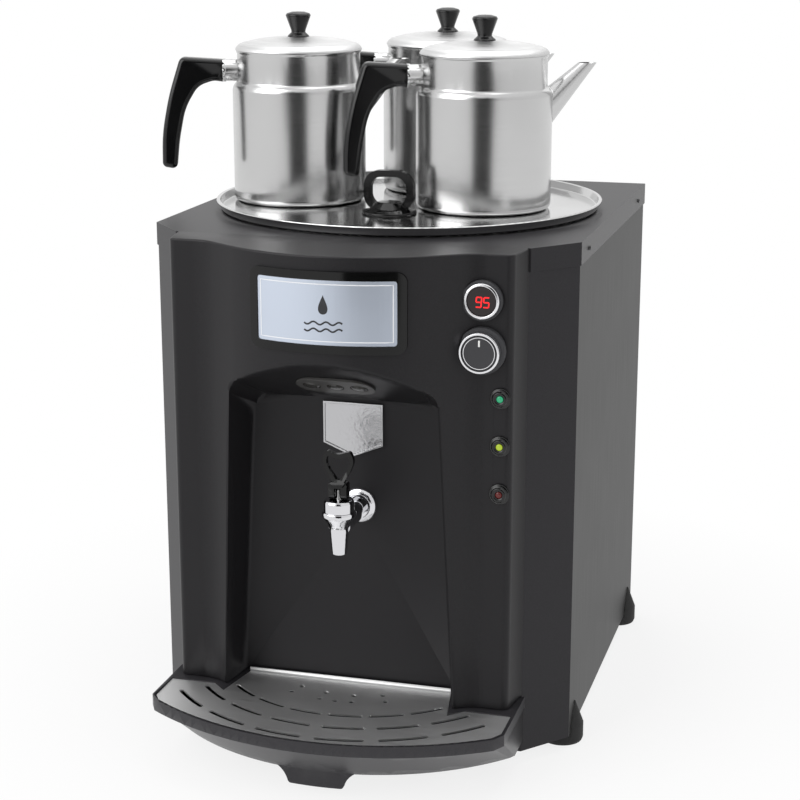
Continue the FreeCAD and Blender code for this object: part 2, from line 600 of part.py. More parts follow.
def make_controls():
    """Thermometer, thermostat with its knob, and three pilot lamps on the right-hand pillar."""
    envelope = panel_envelope()
    front = PILLAR_Y
    dial = (DIAL_X, front, THERMOMETER_Z)
    flange = turned([(0, 0), (THERMOMETER_RADIUS, 0), (THERMOMETER_RADIUS, THERMOMETER_OUT, 1),
                     (0, THERMOMETER_OUT)], dial, Y_AXIS)
    barrel = turned([(0, -28), (THERMOMETER_BARREL, -28), (THERMOMETER_BARREL, 1), (0, 1)], dial, Y_AXIS)
    save(fuse(barrel, flange.cut(envelope)), "thermometer_module")
    bezel_top = THERMOMETER_OUT + BEZEL_HIGH
    bezel = turned([(DIAL_RADIUS, THERMOMETER_OUT), (BEZEL_RADIUS, THERMOMETER_OUT),
                    (BEZEL_RADIUS, bezel_top - 0.9, 0.8), (DIAL_RADIUS + 0.8, bezel_top)], dial, Y_AXIS)
    save(bezel.cut(envelope), "thermometer_bezel")
    window = turned([(0, THERMOMETER_OUT), (DIAL_RADIUS - FIT, THERMOMETER_OUT),
                     (DIAL_RADIUS - FIT, THERMOMETER_OUT + 1.4), (0, THERMOMETER_OUT + 1.6)], dial, Y_AXIS)
    save(window, "thermometer_window")

    casing = block((DIAL_X - 15, front + PANEL_WALL, KNOB_Z - 17),
                   (DIAL_X + 15, front + PANEL_WALL + 24, KNOB_Z + 17))
    shaft = rod(SHAFT_RADIUS, (DIAL_X, front + PANEL_WALL, KNOB_Z), (DIAL_X, front - KNOB_OUT + 4, KNOB_Z))
    collar = rod(SHAFT_RADIUS + 1.15, (DIAL_X, front + PANEL_WALL, KNOB_Z), (DIAL_X, front - 3, KNOB_Z))
    bulb = rod(3.5, (-60, PLATE_OFFSET + 95, TANK_BOTTOM - 3.5), (60, PLATE_OFFSET + 95, TANK_BOTTOM - 3.5))
    save(group([fuse(casing, shaft, collar), bulb]), "thermostat")
    rim = KNOB_RADIUS
    hub = (DIAL_X, front, KNOB_Z)
    escutcheon = turned([(KNOB_BORE, 0), (KNOB_SKIRT_RADIUS, 0), (KNOB_SKIRT_RADIUS, KNOB_BASE - 2.1, 1.2),
                         (rim, KNOB_BASE), (KNOB_BORE, KNOB_BASE)], hub, Y_AXIS)
    save(escutcheon.cut(envelope), "knob_escutcheon")
    low = KNOB_BASE + SEAT
    step = low + 1.9
    wall = 1.8
    groove = KNOB_OUT - 1.0
    face = KNOB_OUT - 0.7
    knob = turned([(SHAFT_RADIUS + FIT, low), (rim, low), (rim, step), (rim - wall - FIT, step),
                   (rim - wall - FIT, groove), (rim - 4.4, groove), (rim - 4.4, face), (0, face),
                   (0, KNOB_OUT - 3.4), (SHAFT_RADIUS + FIT, KNOB_OUT - 3.4)], hub, Y_AXIS)
    save(knob, "knob")
    ring = turned([(rim - wall, step), (rim, step), (rim, KNOB_OUT, 0.6), (rim - wall, KNOB_OUT)], hub, Y_AXIS)
    lip = turned([(rim - 4.3, groove), (rim - 3.7, groove), (rim - 3.7, KNOB_OUT - 0.3),
                  (rim - 4.3, KNOB_OUT - 0.3)], hub, Y_AXIS)
    save(group([ring, lip]), "knob_ring")

    bezels = []
    for height, name in zip(LAMP_HEIGHTS, ("green", "amber", "red")):
        place = (LAMP_X, front, height)
        bezels.append(turned([(LENS_RADIUS + FIT, -16), (LAMP_BARREL, -16), (LAMP_BARREL, 0), (LAMP_RADIUS, 0),
                              (LAMP_RADIUS, 1.8), (LAMP_RADIUS - 0.8, 2.6), (LAMP_BARREL, 2.6),
                              (LAMP_BARREL, LAMP_OUT - 0.6), (LAMP_BARREL - 0.7, LAMP_OUT),
                              (LENS_RADIUS + 1.6, LAMP_OUT), (LENS_RADIUS + FIT, LAMP_OUT - 1)],
                             place, Y_AXIS))
        lens = turned([(0, -14), (LENS_RADIUS, -14), (LENS_RADIUS, LAMP_OUT - 1), (LENS_RADIUS - 1, LAMP_OUT - 0.2),
                       (0, LAMP_OUT)], place, Y_AXIS)
        save(lens, "pilot_lens_" + name)
    save(group(bezels), "pilot_bezels")


def make_tank():
    """Water tank hung in the cover, its jacket, stand, element, cut-out and wiring pieces."""
    centre = (0, PLATE_OFFSET, 0)
    wall = SHEET
    top = TOP_Z
    tank = turned([(0, TANK_BOTTOM), (TANK_RADIUS, TANK_BOTTOM, TANK_CORNER), (TANK_RADIUS, top),
                   (TANK_RADIUS + TANK_FLANGE, top), (TANK_RADIUS + TANK_FLANGE, top + wall),
                   (TANK_RADIUS - wall, top + wall), (TANK_RADIUS - wall, TANK_BOTTOM + wall, TANK_CORNER - wall),
                   (0, TANK_BOTTOM + wall)], centre)
    boss_y = PLATE_OFFSET - TANK_RADIUS
    boss = rod(SHANK_RADIUS + 4, (TAP_X, boss_y - 5, TAP_HEIGHT), (TAP_X, boss_y + 3, TAP_HEIGHT))
    keep_out = rod(TANK_RADIUS - wall / 2, (0, PLATE_OFFSET, TANK_BOTTOM), (0, PLATE_OFFSET, top))
    tank = fuse(tank, boss.cut(keep_out))
    tank = tank.cut(rod(SHANK_RADIUS + FIT, (TAP_X, boss_y - 10, TAP_HEIGHT), (TAP_X, boss_y + 20, TAP_HEIGHT)))
    tank = tank.cut(rod(18 + FIT, (0, PLATE_OFFSET, TANK_BOTTOM - 5), (0, PLATE_OFFSET, TANK_BOTTOM + 5)))
    save(tank, "water_tank")

    jacket = turned([(TANK_RADIUS + SEAT, TANK_BOTTOM + TANK_CORNER + 2), (TANK_RADIUS + JACKET, TANK_BOTTOM
                     + TANK_CORNER + 2), (TANK_RADIUS + JACKET, top - 26), (TANK_RADIUS + SEAT, top - 26)], centre)
    jacket = jacket.cut(rod(SHANK_RADIUS + 8, (TAP_X, FRONT_Y, TAP_HEIGHT), (TAP_X, boss_y + 30, TAP_HEIGHT)))
    save(jacket, "tank_jacket")

    low = FLOOR_Z + SHEET
    bridge = block((-110, PLATE_OFFSET - 60, TANK_BOTTOM - 1.5), (110, PLATE_OFFSET + 60, TANK_BOTTOM))
    bridge = bridge.cut(rod(34, (0, PLATE_OFFSET, TANK_BOTTOM - 5), (0, PLATE_OFFSET, TANK_BOTTOM + 5)))
    stand = bridge
    for side in (-1, 1):
        inner_x = side * 108.5
        outer_x = side * 110
        leg = block((min(inner_x, outer_x), PLATE_OFFSET - 60, low),
                    (max(inner_x, outer_x), PLATE_OFFSET + 60, TANK_BOTTOM))
        leg = leg.cut(block((min(inner_x, outer_x) - 1, PLATE_OFFSET - 36, low + 40),
                            (max(inner_x, outer_x) + 1, PLATE_OFFSET + 36, TANK_BOTTOM - 30)))
        toe_x = side * 128
        toe = block((min(inner_x, toe_x), PLATE_OFFSET - 60, low),
                    (max(inner_x, toe_x), PLATE_OFFSET + 60, low + 1.5))
        stand = stand.fuse(leg).fuse(toe)
    save(stand.removeSplitter(), "tank_stand")

    loop_z = TANK_BOTTOM + ELEMENT_CLEAR
    ring = Part.makeTorus(ELEMENT_RADIUS, ELEMENT_TUBE, Vector(0, PLATE_OFFSET, loop_z), Z_AXIS, 0, 360, 340)
    ring.rotate(Vector(0, PLATE_OFFSET, loop_z), Z_AXIS, 10)
    pieces = [ring]
    half_gap = ELEMENT_RADIUS * math.sin(math.radians(10))
    end_x = ELEMENT_RADIUS * math.cos(math.radians(10))
    for side in (-1, 1):
        bend = (end_x, PLATE_OFFSET + side * half_gap, loop_z)
        root = (9, PLATE_OFFSET + side * 9, loop_z)
        pieces.append(Part.makeSphere(ELEMENT_TUBE, Vector(*bend)))
        pieces.append(rod(ELEMENT_TUBE, bend, root))
        pieces.append(Part.makeSphere(ELEMENT_TUBE, Vector(*root)))
        pieces.append(rod(ELEMENT_TUBE, root, (root[0], root[1], TANK_BOTTOM - 24)))
    disc = rod(26, (0, PLATE_OFFSET, TANK_BOTTOM + SHEET + 1.5), (0, PLATE_OFFSET, TANK_BOTTOM + SHEET + 4.5))
    thread = rod(18, (0, PLATE_OFFSET, TANK_BOTTOM - 12), (0, PLATE_OFFSET, TANK_BOTTOM + SHEET + 2))
    save(fuse(disc, thread, *pieces), "heating_element")
    gasket = tube(26, 18 + FIT, (0, PLATE_OFFSET, TANK_BOTTOM + SHEET), (0, PLATE_OFFSET, TANK_BOTTOM + SHEET + 1.5))
    nut_radius = 30
    flats = [(nut_radius * math.cos(math.radians(60 * step)), PLATE_OFFSET
              + nut_radius * math.sin(math.radians(60 * step))) for step in range(6)]
    nut = prism(flats, TANK_BOTTOM - 8, TANK_BOTTOM)
    nut = nut.cut(rod(18 + FIT, (0, PLATE_OFFSET, TANK_BOTTOM - 20), (0, PLATE_OFFSET, TANK_BOTTOM + 5)))

    boss_front = PLATE_OFFSET - TANK_RADIUS - 5
    bore = rod(SHANK_RADIUS + FIT, (TAP_X, FRONT_Y - 10, TAP_HEIGHT), (TAP_X, boss_front + 20, TAP_HEIGHT))
    hexagon = [(TAP_X + 12.5 * math.cos(math.radians(60 * step)),
                TAP_HEIGHT + 12.5 * math.sin(math.radians(60 * step))) for step in range(6)]
    wall_nut = plate_facing_front(hexagon, FRONT_Y + SHEET + 6, FRONT_Y + SHEET).cut(bore)
    tank_nut = plate_facing_front(hexagon, boss_front - 2.5, boss_front - 8.5).cut(bore)
    save(group([nut, wall_nut, tank_nut]), "nuts")
    tank_seal = tube(12, SHANK_RADIUS + FIT, (TAP_X, boss_front - 2.5, TAP_HEIGHT), (TAP_X, boss_front, TAP_HEIGHT))
    save(group([gasket, tank_seal]), "seals")

    cut_out = fuse(rod(12, (75, PLATE_OFFSET + 75, TANK_BOTTOM - 11), (75, PLATE_OFFSET + 75, TANK_BOTTOM)),
                   block((70, PLATE_OFFSET + 68, TANK_BOTTOM - 20), (71, PLATE_OFFSET + 74, TANK_BOTTOM - 10)),
                   block((79, PLATE_OFFSET + 68, TANK_BOTTOM - 20), (80, PLATE_OFFSET + 74, TANK_BOTTOM - 10)))
    save(cut_out, "dry_run_cutout")

    blocks = []
    base_z = FLOOR_Z + SHEET
    for way in range(3):
        low_x = -60 + way * 14
        blocks.append(rounded_box((low_x, 110, base_z + 3), (low_x + 12, 134, base_z + 22), 2))
    rail = block((-62, 108, base_z), (-18, 136, base_z + 3))
    save(fuse(rail, *blocks), "terminal_block")

    gland = turned([(4.5, -12), (GLAND_THREAD - FIT, -12), (GLAND_THREAD - FIT, 0), (12, 0), (12, 6), (9.5, 6),
                    (8.5, 17), (4.5, 18)])
    gland.rotate(Vector(0, 0, 0), X_AXIS, -90)
    gland = gland.translated(Vector(GLAND_X, BACK_Y - SHEET, GLAND_Z))
    gland_nut = tube(12, GLAND_THREAD, (GLAND_X, BACK_Y - 2 * SHEET, GLAND_Z), (GLAND_X, BACK_Y - 7, GLAND_Z))
    save(group([gland, gland_nut]), "cable_gland")


def make_tap():
    """Sprung tap: shank through the niche wall into the tank, body, bonnet, stem, spring and lever."""
    x = TAP_X
    y = TAP_Y
    z = TAP_HEIGHT
    shank_end = PLATE_OFFSET - TANK_RADIUS + 12
    shank = tube(SHANK_RADIUS, 4.5, (x, y + 9.5, z), (x, shank_end, z))
    save(shank, "tap_shank")
    flange = turned([(SHANK_RADIUS + FIT, 0), (16.4, 0), (16.4, 1.6), (13.0, 4.0), (11.0, 4.4), (10.4, 8.0),
                     (SHANK_RADIUS + FIT, 8.0)], (x, NICHE_WALL_Y, z), Y_AXIS)
    save(flange, "tap_flange")
    seat_z = z - 5
    shell = turned([(0, z - SPOUT_TIP_DROP), (6.6, z - SPOUT_TIP_DROP, 0.8), (8.8, z - 2), (10.2, z + 1),
                    (14.6, z + 8.6), (15.3, z + 10), (15.3, z + 12.5), (14.6, z + 13.6), (0, z + 13.6)], (x, y, 0))
    stub = rod(10.0, (x, y, z), (x, y + 36, z))
    chamber = turned([(0, z - SPOUT_TIP_DROP - 1), (4.2, z - SPOUT_TIP_DROP - 1), (4.2, seat_z), (7.0, seat_z),
                      (7.0, z + 3), (9.0, z + 5), (9.0, z + 14), (0, z + 14)], (x, y, 0))
    body = fuse(shell, stub).cut(chamber)
    body = body.cut(rod(SHANK_RADIUS + FIT, (x, y + 9.5, z), (x, y + 40, z)))
    body = body.cut(rod(4.5, (x, y, z), (x, y + 12, z)))
    save(body, "tap_body")

    bonnet_top = z + 24.6
    bonnet = turned([(STEM_RADIUS + FIT, z + 22.2), (STEM_RADIUS + FIT, bonnet_top), (12.4, bonnet_top, 1.2),
                     (13.6, z + 22), (13.6, z + 13.7), (8.9, z + 13.7), (8.9, z + 22.2)], (x, y, 0))
    save(bonnet, "tap_bonnet")

    pin_z = bonnet_top + SEAT + LEVER_HALF_DEPTH
    stem_low = seat_z + 0.1
    stem = rod(STEM_RADIUS, (x, y, stem_low + 5), (x, y, pin_z + 3.4))
    collar = rod(5.6, (x, y, stem_low + 7), (x, y, stem_low + 8.5))
    pin_hole = rod(PIN_RADIUS + FIT / 2, (x - 9, y, pin_z), (x + 9, y, pin_z))
    save(fuse(stem, collar).cut(pin_hole), "tap_stem")
    cup = turned([(0, stem_low), (5.4, stem_low), (6.2, stem_low + 1), (6.2, stem_low + 6.9),
                  (STEM_RADIUS + 0.02, stem_low + 6.9), (STEM_RADIUS + 0.02, stem_low + 5), (0, stem_low + 5)],
                 (x, y, 0))
    save(cup, "seat_cup")
    save(make_spring(x, y, stem_low + 8.6, z + 22.1), "tap_spring")
    save(rod(PIN_RADIUS, (x - 6.5, y, pin_z), (x + 6.5, y, pin_z)), "lever_pin")
    save(make_lever(x, y, pin_z), "tap_lever")


def make_spring(x, y, low, high):
    """Round-wire compression spring about the stem, one unbroken tube of even turns."""
    half = 0.5
    coil_radius = 5.0
    turns = 4
    height = high - low - 2 * half
    pitch = height / turns
    path = Part.makeHelix(pitch, height, coil_radius)
    start = Vector(coil_radius, 0, 0)
    section = Part.makePolygon([start + Vector(half, 0, -half), start + Vector(half, 0, half),
                                start + Vector(-half, 0, half), start + Vector(-half, 0, -half),
                                start + Vector(half, 0, -half)])
    coil = Part.Wire(path).makePipeShell([section], True, True)
    return coil.translated(Vector(x, y, low + half))


def make_lever(x, y, pin_z):
    """Black lever: a forked block with a round foot on the pin, and an open finger loop above it."""
    half = 8.3
    depth = LEVER_HALF_DEPTH
    foot_z = pin_z - depth
    neck_top = pin_z + 10.5
    neck = [(x - half, foot_z), (x + half, foot_z), (x + half, neck_top, 2), (x - half, neck_top, 2)]
    upper = plate_facing_front(neck, y + depth, y - depth).cut(block((x - 10, y - 10, foot_z - 1),
                                                                     (x + 10, y + 10, pin_z)))
    yoke = upper.fuse(rod(depth, (x - half, y, pin_z), (x + half, y, pin_z)))
    gap = STEM_RADIUS + SEAT
    yoke = yoke.cut(block((x - gap, y - 7, foot_z - 1), (x + gap, y + 7, pin_z + 5.5)))
    low = neck_top - 1
    top = low + LOOP_HEIGHT
    outer = [(x - 4.4, low), (x + 4.4, low), (x + 11, low + 11, 9), (x + 15, low + 21, 12),
             (x + 11, top, 3), (x, top - 3.6, 10), (x - 11, top, 3), (x - 15, low + 21, 12),
             (x - 11, low + 11, 9)]
    inner = [(x - 1.6, low + 3.2, 1), (x + 1.6, low + 3.2, 1), (x + 8, low + 12.4, 8), (x + 11.6, low + 20.5, 8),
             (x + 9.2, top - 5.0, 1.4), (x, top - 7.6, 9), (x - 9.2, top - 5.0, 1.4), (x - 11.6, low + 20.5, 8),
             (x - 8, low + 12.4, 8)]
    loop = plate_facing_front(outer, y + 2.6, y - 2.6).cut(plate_facing_front(inner, y + 5, y - 5))
    pin_hole = rod(PIN_RADIUS + FIT / 2, (x - 6.6, y, pin_z), (x + 6.6, y, pin_z))
    return fuse(yoke, loop).cut(pin_hole)


def tray_plan(half, side_out, nose_out, corner, inset):
    """Plan wire of the drip tray at one height, moved inwards by inset."""
    back_y = FRONT_Y - TRAY_BACK_GAP
    side_y = FRONT_Y - side_out
    start_x = half - 0.55 * corner
    corners = [(-half, back_y), (-half, side_y), (-start_x, side_y - corner),
               (start_x, side_y - corner, 0, (0, FRONT_Y - nose_out)), (half, side_y), (half, back_y)]
    wire = outline(corners)
    if inset > 0:
        return Part.Face(wire).makeOffset2D(-inset, 2).OuterWire
    return wire


def rim_plan(inset):
    """Plan wire of the tray's rim."""
    return tray_plan(TRAY_HALF, TRAY_SIDE_OUT, TRAY_NOSE_OUT, TRAY_CORNER, inset)


def neck_plan(inset):
    """Plan wire of the tray's body just under its rim."""
    return tray_plan(TRAY_HALF - TRAY_SIDE_STEP, TRAY_SIDE_OUT - TRAY_STEP, TRAY_NOSE_OUT - TRAY_STEP,
                     TRAY_CORNER, inset)


def floor_plan(inset):
    """Plan wire of the tray's bottom."""
    return tray_plan(TRAY_HALF - TRAY_SIDE_STEP, TRAY_LOW_SIDE_OUT, TRAY_LOW_NOSE_OUT, TRAY_LOW_CORNER, inset)


def make_tray():
    """Drip tray that slides out under the moulded front, its rails, and the slotted grille in it."""
    rim_low = TRAY_TOP - TRAY_RIM
    low = TRAY_TOP - TRAY_DEPTH
    deck_low = GRILLE_LOW - TRAY_WALL
    rim = prism(rim_plan(0), rim_low, TRAY_TOP)
    body = Part.makeLoft([floor_plan(0).translated(Vector(0, 0, low)),
                          neck_plan(0).translated(Vector(0, 0, rim_low))], True, True)
    hollow = Part.makeLoft([floor_plan(TRAY_WALL).translated(Vector(0, 0, low + TRAY_WALL)),
                            neck_plan(TRAY_WALL).translated(Vector(0, 0, deck_low))], True, True)
    mouth = prism(grille_plan(TRAY_LEDGE), deck_low - 1, TRAY_TOP)
    seat = prism(grille_plan(0), GRILLE_LOW, TRAY_TOP + 1)
    pull_low = low - PULL_DROP
    pull_out = PULL_HALF + PULL_FLARE
    pull_top = low + TRAY_WALL
    corner_x = PULL_HALF - PULL_ROUND
    side_z = pull_low + 0.6 * PULL_ROUND
    round_x = PULL_HALF - 0.3 * PULL_ROUND
    bend_x = PULL_HALF + 0.2 * PULL_FLARE
    bend_z = (side_z + pull_top) / 2 - 1
    tab = plate_facing_front([(-pull_out, pull_top), (-PULL_HALF, side_z, 0, (-bend_x, bend_z)),
                              (-corner_x, pull_low, 0, (-round_x, pull_low + 0.12 * PULL_ROUND)),
                              (corner_x, pull_low),
                              (PULL_HALF, side_z, 0, (round_x, pull_low + 0.12 * PULL_ROUND)),
                              (pull_out, pull_top, 0, (bend_x, bend_z))], FRONT_Y, NOSE_Y - TRAY_NOSE_OUT)
    skirt = prism(floor_plan(0), pull_low, pull_top).cut(prism(floor_plan(PULL_WALL), pull_low, pull_top))
    front_half = block((-TRAY_HALF, FRONT_Y - TRAY_NOSE_OUT, pull_low),
                       (TRAY_HALF, FRONT_Y - TRAY_LOW_SIDE_OUT, pull_top))
    tray = fuse(rim, body, tab.common(skirt).common(front_half)).cut(hollow).cut(mouth).cut(seat)
    save(tray, "drip_tray")

    grille = prism(grille_plan(GRILLE_PLAY), GRILLE_LOW, GRILLE_TOP)
    back_y = NICHE_WALL_Y - GRILLE_GAP - GRILLE_PLAY
    upturn_half = NICHE_BACK_HALF_LOW - GRILLE_SIDE_GAP - GRILLE_PLAY
    upturn = block((-upturn_half, back_y - GRILLE_SHEET, GRILLE_LOW),
                   (upturn_half, back_y, GRILLE_TOP + GRILLE_UPTURN))
    cuts = []
    rows = [(radius, SLOT_PITCH, SLOT_LENGTH) for radius in SLOT_ROWS]
    rows.append((INNER_ROW, INNER_PITCH, INNER_LENGTH))
    for radius, pitch, length in rows:
        for place in range(SLOTS_IN_ROW):
            middle = (place - (SLOTS_IN_ROW - 1) / 2) * pitch
            cuts.append(arc_slot(GRILLE_CENTRE_Y, radius, middle - length / 2, middle + length / 2))
    for hole_x, hole_y in drain_holes():
        cuts.append(rod(DRAIN_HOLE, (hole_x, hole_y, GRILLE_LOW - 1), (hole_x, hole_y, GRILLE_TOP + 1)))
    save(fuse(grille, upturn).cut(Part.makeCompound(cuts)), "drip_grille")

    rails = []
    rail_top = low - SEAT
    for side in (-1, 1):
        rail_low_x = side * RAIL_X - RAIL_HALF
        rail_high_x = side * RAIL_X + RAIL_HALF
        web = block((rail_low_x, FRONT_Y - RAIL_REACH, rail_top - RAIL_SHEET), (rail_high_x, FRONT_Y, rail_top))
        foot = block((rail_low_x, FRONT_Y - RAIL_SHEET, rail_top - RAIL_FOOT), (rail_high_x, FRONT_Y, rail_top))
        rails.append(web.fuse(foot).removeSplitter())
    save(group(rails), "tray_rails")


def grille_plan(inset):
    """Plan wire of the grille: the niche floor, then wider in front of the pillars."""
    half = TRAY_HALF - GRILLE_EDGE - inset
    back_y = NICHE_WALL_Y - GRILLE_GAP - inset
    side_gap = GRILLE_SIDE_GAP + inset
    back_half = NICHE_BACK_HALF_LOW - side_gap
    front_gap = GRILLE_PILLAR_GAP + inset
    notch_y = PILLAR_Y - front_gap
    splay = NICHE_SPLAY / (NICHE_REACH - NICHE_BACK_OUT)
    slope = (CREASE_OUT - PILLAR_OUT) / (FLANK_HALF - CREASE_HALF)
    lean_gap = front_gap * math.hypot(1, slope)
    step_out = PILLAR_OUT + lean_gap + FLANK_HALF * slope
    step_half = (back_half + splay * (step_out - NICHE_BACK_OUT)) / (1 + splay * slope)
    step_y = FRONT_Y - step_out + step_half * slope
    knee_half = FLANK_HALF - (lean_gap - front_gap) / slope
    side_y = FRONT_Y - TRAY_SIDE_OUT + 0.4 * (GRILLE_EDGE + inset)
    start_x = half - 0.55 * TRAY_CORNER
    start_y = side_y - TRAY_CORNER + 0.4 * (GRILLE_EDGE + inset)
    nose_y = FRONT_Y - TRAY_NOSE_OUT + GRILLE_EDGE + inset
    corners = [(-back_half, back_y), (-step_half, step_y), (-knee_half, notch_y), (-half, notch_y),
               (-half, side_y), (-start_x, start_y), (start_x, start_y, 0, (0, nose_y)), (half, side_y),
               (half, notch_y), (knee_half, notch_y), (step_half, step_y), (back_half, back_y)]
    return outline(corners)


def arc_slot(centre_y, radius, start, finish):
    """Slot with round ends along an arc about the grille's centre, angles from straight ahead."""
    half = SLOT_WIDTH / 2

    def point(distance, angle):
        turn = math.radians(angle)
        return (distance * math.sin(turn), centre_y - distance * math.cos(turn))

    middle = (start + finish) / 2
    tip = math.degrees(half / radius)
    outer_start = point(radius + half, start)
    corners = [outer_start, point(radius + half, finish) + (0, point(radius + half, middle)),
               point(radius - half, finish) + (0, point(radius, finish + tip)),
               point(radius - half, start) + (0, point(radius - half, middle))]
    edges = outline_arcs(corners, point(radius, start - tip))
    return prism(edges, GRILLE_LOW - 1, GRILLE_TOP + 1)


def outline_arcs(corners, closing_via):
    """Closed wire of arcs: each corner after the first gives its via point, and the last arc closes it."""
    edges = []
    for before, after in zip(corners, corners[1:]):
        edges.append(Part.Arc(Vector(before[0], before[1], 0), Vector(after[3][0], after[3][1], 0),
                              Vector(after[0], after[1], 0)).toShape())
    last = corners[-1]
    first = corners[0]
    edges.append(Part.Arc(Vector(last[0], last[1], 0), Vector(closing_via[0], closing_via[1], 0),
                          Vector(first[0], first[1], 0)).toShape())
    return Part.Wire(edges)


def drain_holes():
    """Centres of the round holes behind the slots, on two more arcs about the same centre."""
    places = []
    for radius, angles in HOLE_ROWS:
        for angle in angles:
            turn = math.radians(angle)
            places.append((radius * math.sin(turn), GRILLE_CENTRE_Y - radius * math.cos(turn)))
    return places


POTS = (("left", -114.1, -23.2, 20.0), ("right", 74.5, -27.9, 22.0), ("rear", 8.6, 88.5, 12.0))
PLUG_X = -3.0
PLUG_Y = -88.0


def make_plate():
    """Round steam plate with a rolled rim, steam ports under the pots and a filler hole with its plug."""
    low = PLATE_Z
    sheet = PLATE_SHEET
    rim_z = TOP_Z + PLATE_RIM
    skirt = TANK_RADIUS - SHEET - SKIRT_GAP
    plate = turned([(0, low), (skirt - 1, low), (skirt - 1, low - PLATE_SKIRT), (skirt, low - PLATE_SKIRT), (skirt, low),
                    (PLATE_RADIUS - 4.2, low, 2), (PLATE_RADIUS - 2.4, rim_z - 1.5), (PLATE_RADIUS, rim_z - 1.5),
                    (PLATE_RADIUS, rim_z, 0.7), (PLATE_RADIUS - 3.4, rim_z, 0.7),
                    (PLATE_RADIUS - 5.2, low + sheet, 1.4), (0, low + sheet)], (0, PLATE_OFFSET, 0))
    cuts = [rod(FILL_HOLE, (PLUG_X, PLUG_Y, low - 3), (PLUG_X, PLUG_Y, low + 3))]
    for _, x, y, _ in POTS:
        cuts.append(rod(STEAM_PORT, (x, y, low - 3), (x, y, low + 3)))
    save(plate.cut(Part.makeCompound(cuts)), "top_plate")

    top = low + sheet
    hub = turned([(0, top - 9), (FILL_HOLE - 0.8, top - 9), (FILL_HOLE - 0.4, top), (26, top), (26, top + 2.4, 0.8),
                  (19, top + 4.4), (11, top + 11, 2), (0, top + 12.4)], (PLUG_X, PLUG_Y, 0))
    ring_z = top + 21.5
    ring = plate_facing_front(ring_outline(PLUG_X, ring_z, 19.5, 24.5), PLUG_Y + 4, PLUG_Y - 4)
    hole = plate_facing_front(ring_outline(PLUG_X, ring_z, 13.6, 17.5), PLUG_Y + 6, PLUG_Y - 6)
    ring = ring.cut(hole).common(block((-60, PLUG_Y - 6, top + 2), (60, PLUG_Y + 6, top + 60)))
    save(fuse(hub, ring), "fill_plug")


def ring_outline(x, z, half_height, half_width):
    """Plump oval outline centred at x and z."""
    corners = []
    reach = min(half_height, half_width) * 0.8
    for sign_x, sign_z in ((-1, -1), (1, -1), (1, 1), (-1, 1)):
        corners.append((x + sign_x * half_width, z + sign_z * half_height, reach))
    return corners


def make_pot(name, x, y, angle):
    """Teapot: seamed body with a straight spout, curved handle on a bright ferrule, lid and knob."""
    base = PLATE_Z + PLATE_SHEET

    def place(shape):
        turned_shape = shape.copy()
        turned_shape.rotate(Vector(0, 0, 0), Z_AXIS, angle)
        return turned_shape.translated(Vector(x, y, base))

    wall = POT_SHEET
    rim_top = POT_HEIGHT
    outer_low = POT_RADIUS
    body = turned([(0, 2.6), (POT_RADIUS - 15, 2.6), (POT_RADIUS - 13, 0), (POT_RADIUS, 0, 6),
                   (outer_low, POT_SHOULDER - 4), (POT_RADIUS - 1.2, POT_SHOULDER), (POT_NECK, POT_SHOULDER + 5),
                   (POT_NECK, rim_top - 3), (POT_NECK + 0.9, rim_top - 1.6), (POT_NECK + 0.9, rim_top),
                   (POT_NECK - wall, rim_top), (POT_NECK - wall, POT_SHOULDER + 4.6),
                   (POT_RADIUS - 1.8 - wall, POT_SHOULDER - 1), (POT_RADIUS - wall, POT_SHOULDER - 5),
                   (POT_RADIUS - wall, 2 * wall, 5), (POT_RADIUS - 13, 3.8), (0, 3.8)])
    spout = spout_solid(0.0)
    bore = spout_solid(wall)
    inside = rod(POT_RADIUS - wall / 2, (0, 0, 0), (0, 0, POT_SHOULDER - 4))
    neck_inside = rod(POT_NECK - wall / 2, (0, 0, POT_SHOULDER), (0, 0, 200))
    spout = spout.cut(inside).cut(neck_inside)
    ferrule = turned([(0, 0), (POT_FERRULE, 0), (POT_FERRULE, 11.5), (POT_FERRULE + 0.7, 12.0),
                      (POT_FERRULE + 0.7, 15.0), (0, 15.0)])
    ferrule.rotate(Vector(0, 0, 0), Y_AXIS, -90)
    ferrule = ferrule.translated(Vector(FERRULE_START, 0, POT_FERRULE_HEIGHT)).cut(neck_inside)
    body = fuse(body, spout, ferrule).cut(bore)
    save(place(body), "teapot_" + name + "_body")
    save(place(make_handle(FERRULE_START - 15.0 - FIT)), "teapot_" + name + "_handle")

    lid_low = rim_top + SEAT
    dome_radius = POT_NECK + LID_OVERHANG
    top = rim_top + LID_DOME
    lid = dome(dome_radius, lid_low, top, wall)
    skirt = tube(POT_NECK - wall - 1.0, POT_NECK - wall - 1.8, (0, 0, rim_top - 6), (0, 0, lid_low + 4))
    save(place(fuse(lid, skirt)), "teapot_" + name + "_lid")
    knob = turned([(0, top - 1.2), (10.8, top - 1.2), (10.4, top + 0.8), (6.9, top + 4.0), (7.1, top + 6),
                   (11.9, top + 19), (12.3, top + 20.4), (11.1, top + 22.2), (6.4, top + 23.6), (0, top + 24)])
    knob = knob.cut(solid_dome(dome_radius, lid_low, top))
    save(place(knob), "teapot_" + name + "_knob")


